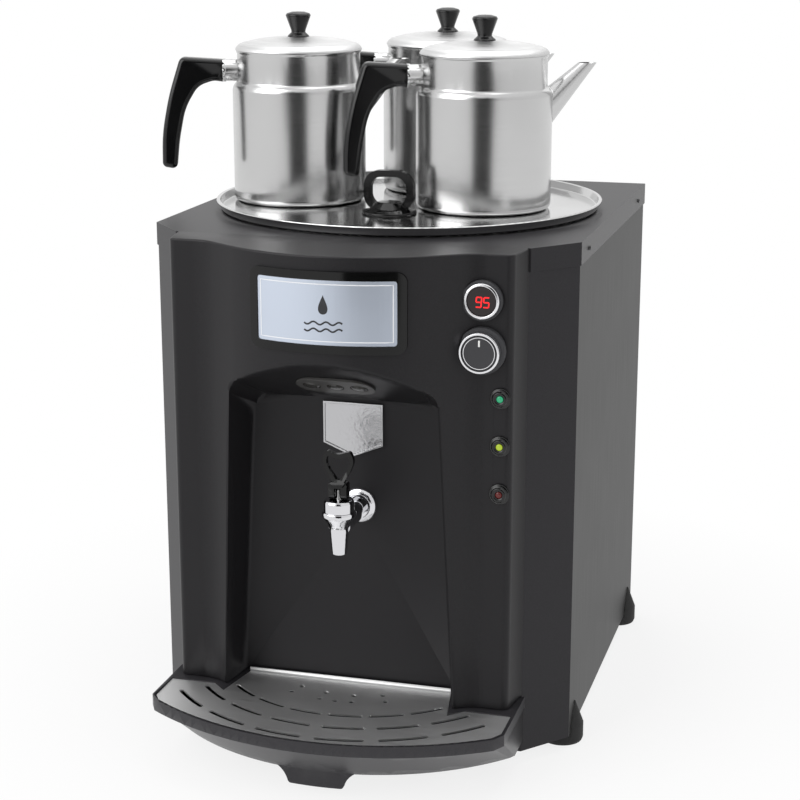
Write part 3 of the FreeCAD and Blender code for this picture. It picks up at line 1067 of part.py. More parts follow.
def spout_solid(inset):
    """Straight tapered spout along +X, thinner all round by inset."""
    root_x = POT_RADIUS - 5.5
    low_z = 72.6
    high_z = 114.0
    tip_z = 138.0
    near_x = 91.0
    far_x = 109.0
    root_major = (high_z - low_z) / 2 - inset
    tip_major = (far_x - near_x) / 2 - inset
    extra = 3.0 if inset > 0 else 0.0
    root = oval(root_major, 16.0 - inset)
    root.rotate(Vector(0, 0, 0), Y_AXIS, 90)
    root = root.translated(Vector(root_x - extra, 0, (high_z + low_z) / 2 - extra * 0.5))
    tip = oval(tip_major, 7.6 - inset).translated(Vector((near_x + far_x) / 2 + extra * 0.3, 0, tip_z + extra * 0.3))
    return Part.makeLoft([root, tip], True, True)


def oval(half_x, half_y):
    """Ellipse wire about the origin, of two halves that start at +X."""
    curve = Part.Ellipse(Vector(half_x, 0, 0), Vector(0, half_y, 0), Vector(0, 0, 0))
    if half_y > half_x:
        curve = Part.Ellipse(Vector(0, half_y, 0), Vector(-half_x, 0, 0), Vector(0, 0, 0))
    return Part.Wire([curve.toShape()])


def make_handle(start_x):
    """Curved grip, drawn from its side and rounded along its edges."""
    z = POT_FERRULE_HEIGHT
    x = start_x
    corners = [(x, z + 10.8), (x - 41, z + 13.5, 7), (x - 53, z - 23.5, 250), (x - 60.5, z - 61.5, 170),
               (x - 61, z - 93.5, 5.2), (x - 46.5, z - 96, 5.2), (x - 43.5, z - 67.5, 200),
               (x - 37, z - 35.5, 65), (x - 24, z - 14.5, 20), (x - 9, z - 9.5, 16), (x, z - 10.7)]
    grip = plate_facing_front(corners, HANDLE_HALF_WIDTH, -HANDLE_HALF_WIDTH)
    long_edges = edges_near(grip, lambda mid, edge: abs(abs(mid.y) - HANDLE_HALF_WIDTH) < 0.01
                            and mid.x < start_x - 1)
    grip = grip.makeFillet(HANDLE_ROUND, long_edges)
    return grip.common(block((start_x - 200, -50, 0), (start_x, 50, 200)))


def dome(radius, low, top, wall):
    """Thin half-ellipse cap on a flat rim."""
    outer = solid_dome(radius, low, top)
    inner = solid_dome(radius - 2.2, low - 0.5, top - wall)
    return outer.cut(inner)


def solid_dome(radius, low, top):
    """Cap with a short upright rim: two arcs along a half ellipse, then a sphere's crown."""
    rim = low + 1.0

    def spot(angle):
        turn = math.radians(angle)
        return (radius * math.cos(turn), rim + (top - rim) * math.sin(turn))

    crown = spot(60)
    drop = top - crown[1]
    ball = (crown[0] ** 2 + drop ** 2) / (2 * drop)
    sphere = Part.makeSphere(ball, Vector(0, 0, top - ball))
    shape = turned([(0, low), (radius, low), spot(0), spot(30) + (0, spot(15)), crown + (0, spot(45)),
                    (crown[0], top + 1), (0, top + 1)])
    return shape.common(sphere)


def main():
    """Build and write every node."""
    os.makedirs("parts", exist_ok=True)
    make_cabinet()
    make_feet()
    make_sign_and_badge()
    make_niche_lamp()
    make_controls()
    make_tank()
    make_tap()
    make_tray()
    make_plate()
    for name, x, y, angle in POTS:
        make_pot(name, x, y, angle)


main()
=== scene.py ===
"""Looks of the counter-top hot water urn: finishes, fine pieces, studio and camera."""
import json
import logging
import math
from dataclasses import dataclass, field
from enum import Enum

import bmesh
import bpy
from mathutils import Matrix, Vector
from mathutils.bvhtree import BVHTree


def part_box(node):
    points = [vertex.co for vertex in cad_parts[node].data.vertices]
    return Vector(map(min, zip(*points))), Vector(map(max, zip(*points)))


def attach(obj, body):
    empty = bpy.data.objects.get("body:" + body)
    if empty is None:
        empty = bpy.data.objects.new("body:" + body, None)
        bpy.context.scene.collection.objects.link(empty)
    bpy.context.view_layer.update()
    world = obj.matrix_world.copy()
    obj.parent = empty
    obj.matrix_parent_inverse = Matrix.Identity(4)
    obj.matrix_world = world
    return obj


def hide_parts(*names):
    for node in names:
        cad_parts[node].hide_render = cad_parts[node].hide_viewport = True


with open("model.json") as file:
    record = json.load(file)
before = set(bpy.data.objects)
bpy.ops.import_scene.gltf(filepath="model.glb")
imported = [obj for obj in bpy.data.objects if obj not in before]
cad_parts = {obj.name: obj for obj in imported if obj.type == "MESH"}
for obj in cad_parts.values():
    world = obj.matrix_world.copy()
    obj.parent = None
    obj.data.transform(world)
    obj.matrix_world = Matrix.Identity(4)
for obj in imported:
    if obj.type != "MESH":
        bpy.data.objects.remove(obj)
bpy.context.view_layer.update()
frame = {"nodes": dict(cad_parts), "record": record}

LOG = logging.getLogger("urn")
MM = 0.001
# Vertices of the CAD triangles closer than this, in metres, are one.
MERGE_DISTANCE = 2e-6
# Grains per metre of the clouds on metal, the mottling of plastic and the ripple in lenses.
CLOUD_SCALE = 14.0
MOTTLE_SCALE = 22.0
RIPPLE_SCALE = 900.0
RIPPLE_DEPTH_MM = 0.005
# The part of a noise's range that most of its values lie in.
NOISE_LOW = 0.3
NOISE_HIGH = 0.7
# Angles between faces: flat sheet, a shaded crease, and an edge that is softened.
FLAT_DEGREES = 0.6
CREASE_DEGREES = 35.0
BEVEL_DEGREES = 50.0
RAY_START_MM = 100.0

CAMERA_AZIMUTH = 15.648
CAMERA_ELEVATION = 14.727
CAMERA_LENS = 84.89
CAMERA_SENSOR = 36.0
CAMERA_PLACE = Vector((0.4891, -1.8074, 0.7723))


class Brush(Enum):
    """The way a metal was brushed."""

    UPRIGHT = "along Z"
    CROSSWISE = "along X"
    TURNED = "round an upright axis"


class Facing(Enum):
    """The side of the cabinet that a fastener faces."""

    LEFT = (-1.0, 0.0, 0.0)
    RIGHT = (1.0, 0.0, 0.0)
    BACK = (0.0, 1.0, 0.0)


def linear(hex_colour: str) -> tuple[float, float, float, float]:
    """Turn an sRGB hex colour into linear RGBA.

    Args:
        hex_colour: Six hex digits, with or without a leading hash.

    Returns:
        The linear colour with an alpha of 1.
    """
    digits = hex_colour.lstrip("#")
    channels = [int(digits[i:i + 2], 16) / 255 for i in (0, 2, 4)]
    values = [c / 12.92 if c <= 0.04045 else ((c + 0.055) / 1.055) ** 2.4 for c in channels]
    return values[0], values[1], values[2], 1.0


def add_node(tree: bpy.types.NodeTree, kind: str, inputs: dict | None = None, **settings) -> bpy.types.Node:
    """Add a node, set its properties and feed its inputs.

    Args:
        tree: The node tree that gets the node.
        kind: The node's class name.
        inputs: Values or sockets for its inputs, by name or index.
        **settings: Properties of the node itself.

    Returns:
        The new node.
    """
    made = tree.nodes.new(kind)
    for name, value in settings.items():
        setattr(made, name, value)
    for name, value in (inputs or {}).items():
        if isinstance(value, bpy.types.NodeSocket):
            tree.links.new(value, made.inputs[name])
        else:
            made.inputs[name].default_value = value
    return made


@dataclass(frozen=True)
class Finish:
    """A surface finish: its look is built once, as one node material."""

    name: str
    colour: str
    roughness: float

    def shader(self, tree: bpy.types.NodeTree) -> bpy.types.Node:
        """Add the surface shader and return it."""
        return add_node(tree, "ShaderNodeBsdfPrincipled",
                        {"Base Color": linear(self.colour), "Roughness": self.roughness})

    def material(self) -> bpy.types.Material:
        """Return the finish's material, building it the first time.

        Returns:
            The node material.
        """
        known = bpy.data.materials.get(self.name)
        if known is not None:
            return known
        made = bpy.data.materials.new(self.name)
        made.use_nodes = True
        tree = made.node_tree
        tree.nodes.clear()
        surface = self.shader(tree)
        add_node(tree, "ShaderNodeOutputMaterial", {"Surface": surface.outputs[0]})
        return made

    @staticmethod
    def place(tree: bpy.types.NodeTree) -> bpy.types.NodeSocket:
        """Return the socket that gives the point on the object, in metres."""
        return add_node(tree, "ShaderNodeTexCoord").outputs["Object"]

    @staticmethod
    def stretched(tree: bpy.types.NodeTree, point: bpy.types.NodeSocket,
                  scale: tuple[float, float, float]) -> bpy.types.NodeSocket:
        """Return a point scaled by a different amount along each axis."""
        return add_node(tree, "ShaderNodeMapping", {"Vector": point, "Scale": scale}).outputs["Vector"]

    @staticmethod
    def noise(tree: bpy.types.NodeTree, point: bpy.types.NodeSocket, scale: float,
              detail: float = 2.0) -> bpy.types.NodeSocket:
        """Return the value of a noise whose grains are 1 / scale metres wide."""
        made = add_node(tree, "ShaderNodeTexNoise", {"Vector": point, "Scale": scale, "Detail": detail})
        return made.outputs[0]

    @staticmethod
    def spread(tree: bpy.types.NodeTree, value: bpy.types.NodeSocket, low: float,
               high: float) -> bpy.types.NodeSocket:
        """Return a noise's value spread between two numbers."""
        made = add_node(tree, "ShaderNodeMapRange",
                        {"Value": value, "From Min": NOISE_LOW, "From Max": NOISE_HIGH,
                         "To Min": low, "To Max": high})
        return made.outputs["Result"]

    def worn(self, tree: bpy.types.NodeTree, value: bpy.types.NodeSocket,
             wear: tuple[float, float]) -> bpy.types.NodeSocket:
        """Return the roughness, uneven between two shares of the finish's own."""
        return self.spread(tree, value, self.roughness * wear[0], self.roughness * wear[1])

    @staticmethod
    def bump(tree: bpy.types.NodeTree, height: bpy.types.NodeSocket,
             depth: float) -> bpy.types.NodeSocket:
        """Return the normal of a surface that is raised by a height, depth metres deep."""
        made = add_node(tree, "ShaderNodeBump", {"Height": height, "Distance": depth, "Strength": 1.0})
        return made.outputs["Normal"]

    @staticmethod
    def tinted(tree: bpy.types.NodeTree, value: bpy.types.NodeSocket, dark: str,
               pale: str) -> bpy.types.NodeSocket:
        """Return a colour between two, by a noise's value."""
        ramp = add_node(tree, "ShaderNodeValToRGB", {"Fac": value})
        ramp.color_ramp.elements[0].position = NOISE_LOW
        ramp.color_ramp.elements[1].position = NOISE_HIGH
        ramp.color_ramp.elements[0].color = linear(dark)
        ramp.color_ramp.elements[1].color = linear(pale)
        return ramp.outputs["Color"]


@dataclass(frozen=True)
class BrushedSteel(Finish):
    """Stainless sheet with a brushed grain: fine scratches that stretch each highlight across them."""

    brush: Brush = Brush.UPRIGHT
    pale: str = "#c9c9c8"
    grain_mm: float = 0.45
    run_mm: float = 60.0
    depth_mm: float = 0.006
    anisotropy: float = 0.6
    wear: tuple[float, float] = (0.82, 1.2)
    edge: str = "#ffffff"
    centre: tuple[float, float] = (0.0, 0.0)

    def shader(self, tree: bpy.types.NodeTree) -> bpy.types.Node:
        """Add the brushed metal shader.

        Args:
            tree: The material's node tree.

        Returns:
            The principled shader.
        """
        point = self.place(tree)
        across = 1.0 / (self.grain_mm * MM)
        along = 1.0 / (self.run_mm * MM)
        shifted = add_node(tree, "ShaderNodeVectorMath", {0: point, 1: (*self.centre, 0.0)},
                           operation="SUBTRACT").outputs[0]
        scales = {Brush.UPRIGHT: (across, across, along), Brush.CROSSWISE: (along, across, across),
                  Brush.TURNED: (along, along, across)}
        grain = self.noise(tree, self.stretched(tree, shifted, scales[self.brush]), 1.0, 3.0)
        cloud = self.noise(tree, shifted, CLOUD_SCALE)
        rough = self.worn(tree, grain, self.wear)
        colour = self.tinted(tree, cloud, self.colour, self.pale)
        if self.brush is Brush.TURNED:
            tangent = add_node(tree, "ShaderNodeVectorMath", {0: (0.0, 0.0, 1.0), 1: shifted},
                               operation="CROSS_PRODUCT").outputs[0]
        else:
            runs = {Brush.UPRIGHT: (0.0, 0.0, 1.0), Brush.CROSSWISE: (1.0, 0.0, 0.0)}
            tangent = add_node(tree, "ShaderNodeCombineXYZ", dict(enumerate(runs[self.brush]))).outputs[0]
        return add_node(tree, "ShaderNodeBsdfPrincipled",
                        {"Base Color": colour, "Metallic": 1.0, "Roughness": rough,
                         "Anisotropic": self.anisotropy, "Tangent": tangent,
                         "Specular Tint": linear(self.edge),
                         "Normal": self.bump(tree, grain, self.depth_mm * MM)})


@dataclass(frozen=True)
class PolishedMetal(Finish):
    """Chrome plate or bright polished metal: a near mirror with a faint haze of wiping marks."""

    waves_mm: float = 9.0
    depth_mm: float = 0.01
    haze: float = 0.4

    def shader(self, tree: bpy.types.NodeTree) -> bpy.types.Node:
        """Add the mirror metal shader.

        Args:
            tree: The material's node tree.

        Returns:
            The principled shader.
        """
        point = self.place(tree)
        haze = self.noise(tree, point, 1.0 / (self.waves_mm * MM), 4.0)
        rough = self.worn(tree, haze, (1 - self.haze, 1 + self.haze))
        return add_node(tree, "ShaderNodeBsdfPrincipled",
                        {"Base Color": linear(self.colour), "Metallic": 1.0, "Roughness": rough,
                         "Normal": self.bump(tree, haze, self.depth_mm * MM)})


@dataclass(frozen=True)
class HammeredChrome(Finish):
    """Cast zinc badge, chrome plated: shallow hammered dimples break up the mirror."""

    dimple_mm: float = 3.2
    depth_mm: float = 0.35

    def shader(self, tree: bpy.types.NodeTree) -> bpy.types.Node:
        """Add the hammered mirror shader and return it."""
        point = self.place(tree)
        cells = self.noise(tree, point, 1.0 / (self.dimple_mm * MM), 2.0)
        return add_node(tree, "ShaderNodeBsdfPrincipled",
                        {"Base Color": linear(self.colour), "Metallic": 1.0, "Roughness": self.roughness,
                         "Normal": self.bump(tree, cells, self.depth_mm * MM)})


@dataclass(frozen=True)
class CoatedSheet(Finish):
    """Baked metallic lacquer: dark, with sub-millimetre flakes and a slight orange-peel wave."""

    flake: str = "#59575c"
    flake_mm: float = 0.5
    peel_mm: float = 1.6
    peel_depth_mm: float = 0.006
    metallic: float = 0.3
    gloss: float = 0.35
    wear: tuple[float, float] = (0.9, 1.12)

    def shader(self, tree: bpy.types.NodeTree) -> bpy.types.Node:
        """Add the lacquer shader.

        Args:
            tree: The material's node tree.

        Returns:
            The principled shader.
        """
        point = self.place(tree)
        flakes = self.noise(tree, point, 1.0 / (self.flake_mm * MM), 1.0)
        peel = self.noise(tree, point, 1.0 / (self.peel_mm * MM), 2.0)
        rough = self.worn(tree, flakes, self.wear)
        return add_node(tree, "ShaderNodeBsdfPrincipled",
                        {"Base Color": self.tinted(tree, flakes, self.colour, self.flake),
                         "Metallic": self.metallic, "Roughness": rough, "Specular IOR Level": self.gloss,
                         "Normal": self.bump(tree, peel, self.peel_depth_mm * MM)})


@dataclass(frozen=True)
class MouldedPlastic(Finish):
    """Injection moulded plastic: one colour with a fine spark-eroded grain, or near smooth when glossy."""

    pale: str = ""
    grain_mm: float = 0.6
    depth_mm: float = 0.01
    gloss: float = 0.5
    wear: tuple[float, float] = (0.88, 1.14)

    def shader(self, tree: bpy.types.NodeTree) -> bpy.types.Node:
        """Add the plastic shader.

        Args:
            tree: The material's node tree.

        Returns:
            The principled shader.
        """
        point = self.place(tree)
        grain = self.noise(tree, point, 1.0 / (self.grain_mm * MM), 2.0)
        cloud = self.noise(tree, point, MOTTLE_SCALE, 3.0)
        rough = self.worn(tree, cloud, self.wear)
        return add_node(tree, "ShaderNodeBsdfPrincipled",
                        {"Base Color": self.tinted(tree, cloud, self.colour, self.pale or self.colour),
                         "Roughness": rough, "Specular IOR Level": self.gloss,
                         "Normal": self.bump(tree, grain, self.depth_mm * MM)})


@dataclass(frozen=True)
class Lens(Finish):
    """Clear or tinted acrylic: smooth, deep coloured, with a little light of its own when lit."""

    glow: str = "#000000"
    strength: float = 0.0
    index: float = 1.49

    def shader(self, tree: bpy.types.NodeTree) -> bpy.types.Node:
        """Add the lens shader and return it."""
        point = self.place(tree)
        ripple = self.noise(tree, point, RIPPLE_SCALE, 1.0)
        return add_node(tree, "ShaderNodeBsdfPrincipled",
                        {"Base Color": linear(self.colour), "Roughness": self.roughness, "IOR": self.index,
                         "Emission Color": linear(self.glow), "Emission Strength": self.strength,
                         "Normal": self.bump(tree, ripple, RIPPLE_DEPTH_MM * MM)})


@dataclass(frozen=True)
class SoftFelt(Finish):
    """Mineral wool or rubber: no shine, a coarse uneven surface."""

    pale: str = "#9a948a"
    grain_mm: float = 2.5
    depth_mm: float = 0.3

    def shader(self, tree: bpy.types.NodeTree) -> bpy.types.Node:
        """Add the matt shader and return it."""
        point = self.place(tree)
        grain = self.noise(tree, point, 1.0 / (self.grain_mm * MM), 5.0)
        return add_node(tree, "ShaderNodeBsdfPrincipled",
                        {"Base Color": self.tinted(tree, grain, self.colour, self.pale),
                         "Roughness": self.roughness, "Normal": self.bump(tree, grain, self.depth_mm * MM)})


FINISHES: dict[str, Finish] = {
    # Zinc-plated steel sheet: dull grey with faint clouds on the back and inside.
    "zinc_sheet": BrushedSteel("zinc_plated_sheet", "#9c9ea0", 0.42, pale="#adafb0", anisotropy=0.2,
                               depth_mm=0.003),
    # Satin stainless: an even mid grey on the sides, darker where it is seen at a low angle.
    "stainless": BrushedSteel("satin_stainless_side", "#868686", 0.34, pale="#8b8b8b", grain_mm=0.8,
                              run_mm=90.0, depth_mm=0.001, anisotropy=0.35, edge="#a0a0a0"),
    # Baked lacquer on steel: dark grey with soft, weak highlights.
    "grey_paint": CoatedSheet("anthracite_lacquer", "#242325", 0.38, flake="#323134", gloss=0.25),
    # Bright steel: small sparkling screw heads.
    "screw_steel": PolishedMetal("bright_screw_steel", "#b4b4b4", 0.18),
    # Lacquered ABS moulding: near black with a silky sheen.
    "grey_plastic": CoatedSheet("anthracite_lacquered_plastic", "#1b1a1c", 0.40, flake="#29282a",
                                gloss=0.3),
    # Polished ABS: black that mirrors the room weakly.
    "gloss_black": MouldedPlastic("gloss_black_plastic", "#040404", 0.12, pale="#060606", depth_mm=0.001,
                                  gloss=0.35),
    # Aluminium film under a clear sheet: an even bluish silver field.
    "sign_silver": PolishedMetal("bright_silver_film", "#c6cedb", 0.42, waves_mm=60.0, depth_mm=0.0,
                                 haze=0.08),
    # Chrome plate on brass: hard black and white reflections on the tap.
    "chrome": PolishedMetal("bright_chrome", "#d9d9dc", 0.05),
    # Moulded polycarbonate housing: plain smoke grey.
    "lamp_grey": MouldedPlastic("smoke_grey_plastic", "#3b3a39", 0.4, pale="#434241"),
    # Frosted acrylic over unlit lamps: dark with a soft glint.
    "clear_lens": Lens("frosted_lamp_lens", "#2f2e2c", 0.2),
    # Chrome-plated ABS trim: bright thin rings.
    "chrome_trim": PolishedMetal("chrome_trim", "#e2e2e4", 0.07),
    # Moulded nylon: black with a small, clear highlight.
    "black_plastic": MouldedPlastic("black_plastic", "#060607", 0.22, pale="#09090a", depth_mm=0.004,
                                    gloss=0.3),
    # Smoked acrylic window: a deep red black behind the digits.
    "dark_window": Lens("smoked_display_window", "#150607", 0.08),
    # Plated steel parts inside: plain dull metal.
    "zinc_steel": BrushedSteel("plated_steel", "#9a9a9a", 0.4, anisotropy=0.0),
    # Polished black bezels: thin dark rings round the lamps.
    "black_trim": MouldedPlastic("polished_black_trim", "#070708", 0.16, pale="#0a0a0b", depth_mm=0.001),
    # Tinted acrylic lenses: a lit green, a lit yellow-green and a dim red dot.
    "green_lens": Lens("green_pilot_lens", "#12452c", 0.15, glow="#3cc48c", strength=0.6),
    "amber_lens": Lens("amber_pilot_lens", "#5d6a1a", 0.15, glow="#b4cc35", strength=0.7),
    "red_lens": Lens("red_pilot_lens", "#3a1110", 0.15, glow="#8a2320", strength=0.25),
    # Drawn stainless tank: pale metal with a turned grain.
    "tank_steel": BrushedSteel("tank_stainless", "#a8a8a7", 0.3, brush=Brush.TURNED),
    # Mineral wool: a matt, uneven cream jacket.
    "insulation": SoftFelt("wool_insulation", "#b9b1a2", 0.95, pale="#d0c9bb"),
    # Scaled element sheath: dark dull metal.
    "element_steel": BrushedSteel("element_sheath", "#76756f", 0.42, anisotropy=0.0),
    # Machined brass: warm yellow metal on the nuts.
    "brass_nuts": PolishedMetal("machined_brass", "#c7a25a", 0.28),
    # Silicone rubber: matt brick red seals.
    "silicone": SoftFelt("red_silicone", "#8f3a2e", 0.6, pale="#9b4436", depth_mm=0.02),
    # Nylon terminal block: matt off-white.
    "terminal_white": MouldedPlastic("terminal_nylon", "#d9d8d0", 0.45, pale="#dedcd5"),
    # Spring wire: bright grey coils.
    "spring_steel": PolishedMetal("spring_steel", "#9b9b9b", 0.22),
    # Moulded rubber: soft black with no shine on feet and gland.
    "rubber_black": SoftFelt("black_rubber", "#151515", 0.75, pale="#1d1d1d", grain_mm=1.0, depth_mm=0.03),
    # Turned stainless stem: a clear bright line.
    "stem_steel": PolishedMetal("turned_stem_steel", "#b2b2b2", 0.16),
    # Brushed stainless grille: pale and satin, so that it takes light from the front.
    "grille_steel": BrushedSteel("grille_stainless", "#e4e4e4", 0.5, brush=Brush.CROSSWISE, pale="#eaeaea",
                                 anisotropy=0.3, depth_mm=0.001),
    # Phenolic handles and knobs: black with long clear highlights.
    "handle_black": MouldedPlastic("phenolic_black", "#070708", 0.2, pale="#0a0a0b", grain_mm=1.2,
                                   depth_mm=0.003, gloss=0.45),
}

SLOTS: dict[str, str] = {part["node"]: part["material_slot"] for part in frame["record"]["subparts"]}
BODIES: dict[str, str] = {node: body for body, nodes in frame["record"]["behaviour"]["bodies"].items()
                          for node in nodes}


def new_piece(name: str, mesh: bpy.types.Mesh, body: str, finish: Finish) -> bpy.types.Object:
    """Put a mesh into the scene as a piece that rides on a body.

    Args:
        name: The piece's name.
        mesh: Its mesh, in the row's frame.
        body: The body that it rides on.
        finish: Its finish.

    Returns:
        The piece.
    """
    piece = bpy.data.objects.new(name, mesh)
    bpy.context.scene.collection.objects.link(piece)
    mesh.materials.clear()
    mesh.materials.append(finish.material())
    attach(piece, body)
    LOG.info("%s: %d faces on %s", name, len(mesh.polygons), body)
    return piece


def mesh_of(made: bmesh.types.BMesh, name: str) -> bpy.types.Mesh:
    """Turn a bmesh into a smooth-shaded mesh with sharp creases.

    Args:
        made: The bmesh, which is freed.
        name: The mesh's name.

    Returns:
        The mesh.
    """
    mesh = bpy.data.meshes.new(name)
    made.to_mesh(mesh)
    made.free()
    mesh.polygons.foreach_set("use_smooth", [True] * len(mesh.polygons))
    mesh.set_sharp_from_angle(angle=math.radians(CREASE_DEGREES))
    return mesh


def merged_copy(node: str) -> bmesh.types.BMesh:
    """Return a copy of a CAD node's mesh with its loose triangles joined."""
    made = bmesh.new()
    made.from_mesh(frame["nodes"][node].data)
    bmesh.ops.remove_doubles(made, verts=made.verts, dist=MERGE_DISTANCE)
    return made


def dress(node: str, finish: Finish | None = None, edge_mm: float = 0.0) -> bpy.types.Object:
    """Replace a CAD node by a joined, smooth-shaded copy with its finish.

    Args:
        node: The CAD node.
        finish: Its finish, or None for the one of its material slot.
        edge_mm: The width of the softened edges, or 0 for none.

    Returns:
        The piece.
    """
    made = merged_copy(node)
    if edge_mm > 0:
        bmesh.ops.dissolve_limit(made, angle_limit=math.radians(FLAT_DEGREES), verts=made.verts,
                                 edges=made.edges)
    mesh = mesh_of(made, node)
    slot = SLOTS[node]
    piece = new_piece(node + "_skin", mesh, BODIES[node], finish or FINISHES[slot])
    if edge_mm > 0:
        bevel = piece.modifiers.new("edges", "BEVEL")
        bevel.width = edge_mm * MM
        bevel.segments = 2
        bevel.limit_method = "ANGLE"
        bevel.angle_limit = math.radians(BEVEL_DEGREES)
        bevel.harden_normals = True
        bevel.use_clamp_overlap = True
    weighted = piece.modifiers.new("normals", "WEIGHTED_NORMAL")
    weighted.keep_sharp = True
    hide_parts(node)
    return piece


def middle(node: str) -> Vector:
    """Return the centre of a CAD node's box."""
    low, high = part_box(node)
    return (low + high) / 2


def front_face(node: str, x: float, z: float) -> float:
    """Return the Y of the front-most face of a CAD node at an X and Z.

    Args:
        node: The CAD node.
        x: The place across.
        z: The height.

    Returns:
        The face's Y, or the box's front where the node has no face there.
    """
    low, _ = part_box(node)
    made = merged_copy(node)
    tree = BVHTree.FromBMesh(made)
    made.free()
    point, _, _, _ = tree.ray_cast(Vector((x, low.y - RAY_START_MM * MM, z)), Vector((0.0, 1.0, 0.0)))
    return low.y if point is None else point.y


def islands(node: str) -> list[tuple[Vector, Vector]]:
    """Return the boxes of the separate solids in a CAD node.

    Args:
        node: The CAD node.

    Returns:
        The lowest and highest corner of each solid.
    """
    made = merged_copy(node)
    unseen = set(made.verts)
    boxes = []
    while unseen:
        front = [unseen.pop()]
        low = front[0].co.copy()
        high = front[0].co.copy()
        while front:
            vertex = front.pop()
            low = Vector(map(min, low, vertex.co))
            high = Vector(map(max, high, vertex.co))
            for edge in vertex.link_edges:
                other = edge.other_vert(vertex)
                if other in unseen:
                    unseen.remove(other)
                    front.append(other)
        boxes.append((low, high))
    made.free()
    return boxes


@dataclass
class ScrewHeads:
    """Cross-recess screw heads, placed by geometry nodes on the cabinet's screw points."""

    node: str = "screws"
    recess_mm: float = 0.9
    arm_mm: float = 1.1
    arm_reach: float = 1.15
    sides: int = 24

    def tree(self) -> bpy.types.GeometryNodeTree:
        """Build the node tree that puts a head on each point.

        Returns:
            The tree, with named inputs for its sizes.
        """
        tree = bpy.data.node_groups.new("screw_heads", "GeometryNodeTree")
        face = tree.interface
        face.new_socket("Geometry", in_out="INPUT", socket_type="NodeSocketGeometry")
        for name in ("Head Radius", "Head Height", "Recess Depth", "Arm Width"):
            face.new_socket(name, in_out="INPUT", socket_type="NodeSocketFloat")
        face.new_socket("Finish", in_out="INPUT", socket_type="NodeSocketMaterial")
        face.new_socket("Geometry", in_out="OUTPUT", socket_type="NodeSocketGeometry")
        given = add_node(tree, "NodeGroupInput").outputs
        head = add_node(tree, "GeometryNodeMeshCylinder",
                        {"Vertices": self.sides, "Radius": given["Head Radius"],
                         "Depth": given["Head Height"]})
        arm_long = add_node(tree, "ShaderNodeMath", {0: given["Head Radius"], 1: self.arm_reach},
                            operation="MULTIPLY")
        cross = add_node(tree, "GeometryNodeJoinGeometry")
        lifted = add_node(tree, "ShaderNodeMath", {0: given["Head Height"], 1: 0.5}, operation="MULTIPLY")
        lift = add_node(tree, "ShaderNodeCombineXYZ", {"Z": lifted.outputs[0]})
        depth = add_node(tree, "ShaderNodeMath", {0: given["Recess Depth"], 1: 2.0}, operation="MULTIPLY")
        spans = (arm_long.outputs[0], given["Arm Width"])
        for first, second in (spans, spans[::-1]):
            size = add_node(tree, "ShaderNodeCombineXYZ", {"X": first, "Y": second, "Z": depth.outputs[0]})
            arm = add_node(tree, "GeometryNodeMeshCube", {"Size": size.outputs[0]})
            moved = add_node(tree, "GeometryNodeTransform",
                             {"Geometry": arm.outputs["Mesh"], "Translation": lift.outputs[0]})
            tree.links.new(moved.outputs[0], cross.inputs[0])
        recessed = add_node(tree, "GeometryNodeMeshBoolean",
                            {"Mesh 1": head.outputs["Mesh"], "Mesh 2": cross.outputs[0]},
                            operation="DIFFERENCE")
        facing = add_node(tree, "GeometryNodeInputNamedAttribute", {"Name": "facing"},
                          data_type="FLOAT_VECTOR")
        turn = add_node(tree, "FunctionNodeAlignRotationToVector", {"Vector": facing.outputs[0]}, axis="Z")
        placed = add_node(tree, "GeometryNodeInstanceOnPoints",
                          {"Points": given["Geometry"], "Instance": recessed.outputs[0],
                           "Rotation": turn.outputs[0]})
        real = add_node(tree, "GeometryNodeRealizeInstances", {"Geometry": placed.outputs[0]})
        dressed = add_node(tree, "GeometryNodeSetMaterial",
                           {"Geometry": real.outputs[0], "Material": given["Finish"]})
        add_node(tree, "NodeGroupOutput", {"Geometry": dressed.outputs[0]})
        return tree

    def build(self) -> None:
        """Make the heads and let them stand for the screws node."""
        points = []
        facings = []
        height = 0.0
        radius = 0.0
        for low, high in islands(self.node):
            size = high - low
            centre = (low + high) / 2
            if size.y < size.x:
                facing = Facing.BACK
            else:
                facing = Facing.LEFT if centre.x < 0 else Facing.RIGHT
            points.append(centre)
            facings.append(facing.value)
            height = min(size)
            radius = max(size) / 2
        mesh = bpy.data.meshes.new("screw_points")
        mesh.from_pydata([tuple(point) for point in points], [], [])
        attribute = mesh.attributes.new("facing", "FLOAT_VECTOR", "POINT")
        attribute.data.foreach_set("vector", [value for facing in facings for value in facing])
        finish = FINISHES[SLOTS[self.node]]
        mesh = grown(mesh, self.tree(), {"Head Radius": radius, "Head Height": height,
                                         "Recess Depth": self.recess_mm * MM, "Arm Width": self.arm_mm * MM,
                                         "Finish": finish.material()})
        piece = new_piece("screw_heads", mesh, BODIES[self.node], finish)
        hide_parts(self.node)


def grown(mesh: bpy.types.Mesh, tree: bpy.types.GeometryNodeTree, values: dict) -> bpy.types.Mesh:
    """Run a geometry node tree on a mesh and return the plain result.

    Args:
        mesh: The mesh that the tree starts from.
        tree: The tree.
        values: Its inputs, by name.

    Returns:
        A new mesh with the instances made real.
    """
    carrier = bpy.data.objects.new("carrier", mesh)
    bpy.context.scene.collection.objects.link(carrier)
    modifier = carrier.modifiers.new("grow", "NODES")
    modifier.node_group = tree
    for item in tree.interface.items_tree:
        if item.item_type == "SOCKET" and item.in_out == "INPUT" and item.name in values:
            modifier[item.identifier] = values[item.name]
    bpy.context.view_layer.update()
    graph = bpy.context.evaluated_depsgraph_get()
    made = bpy.data.meshes.new_from_object(carrier.evaluated_get(graph))
    bpy.data.objects.remove(carrier)
    return made


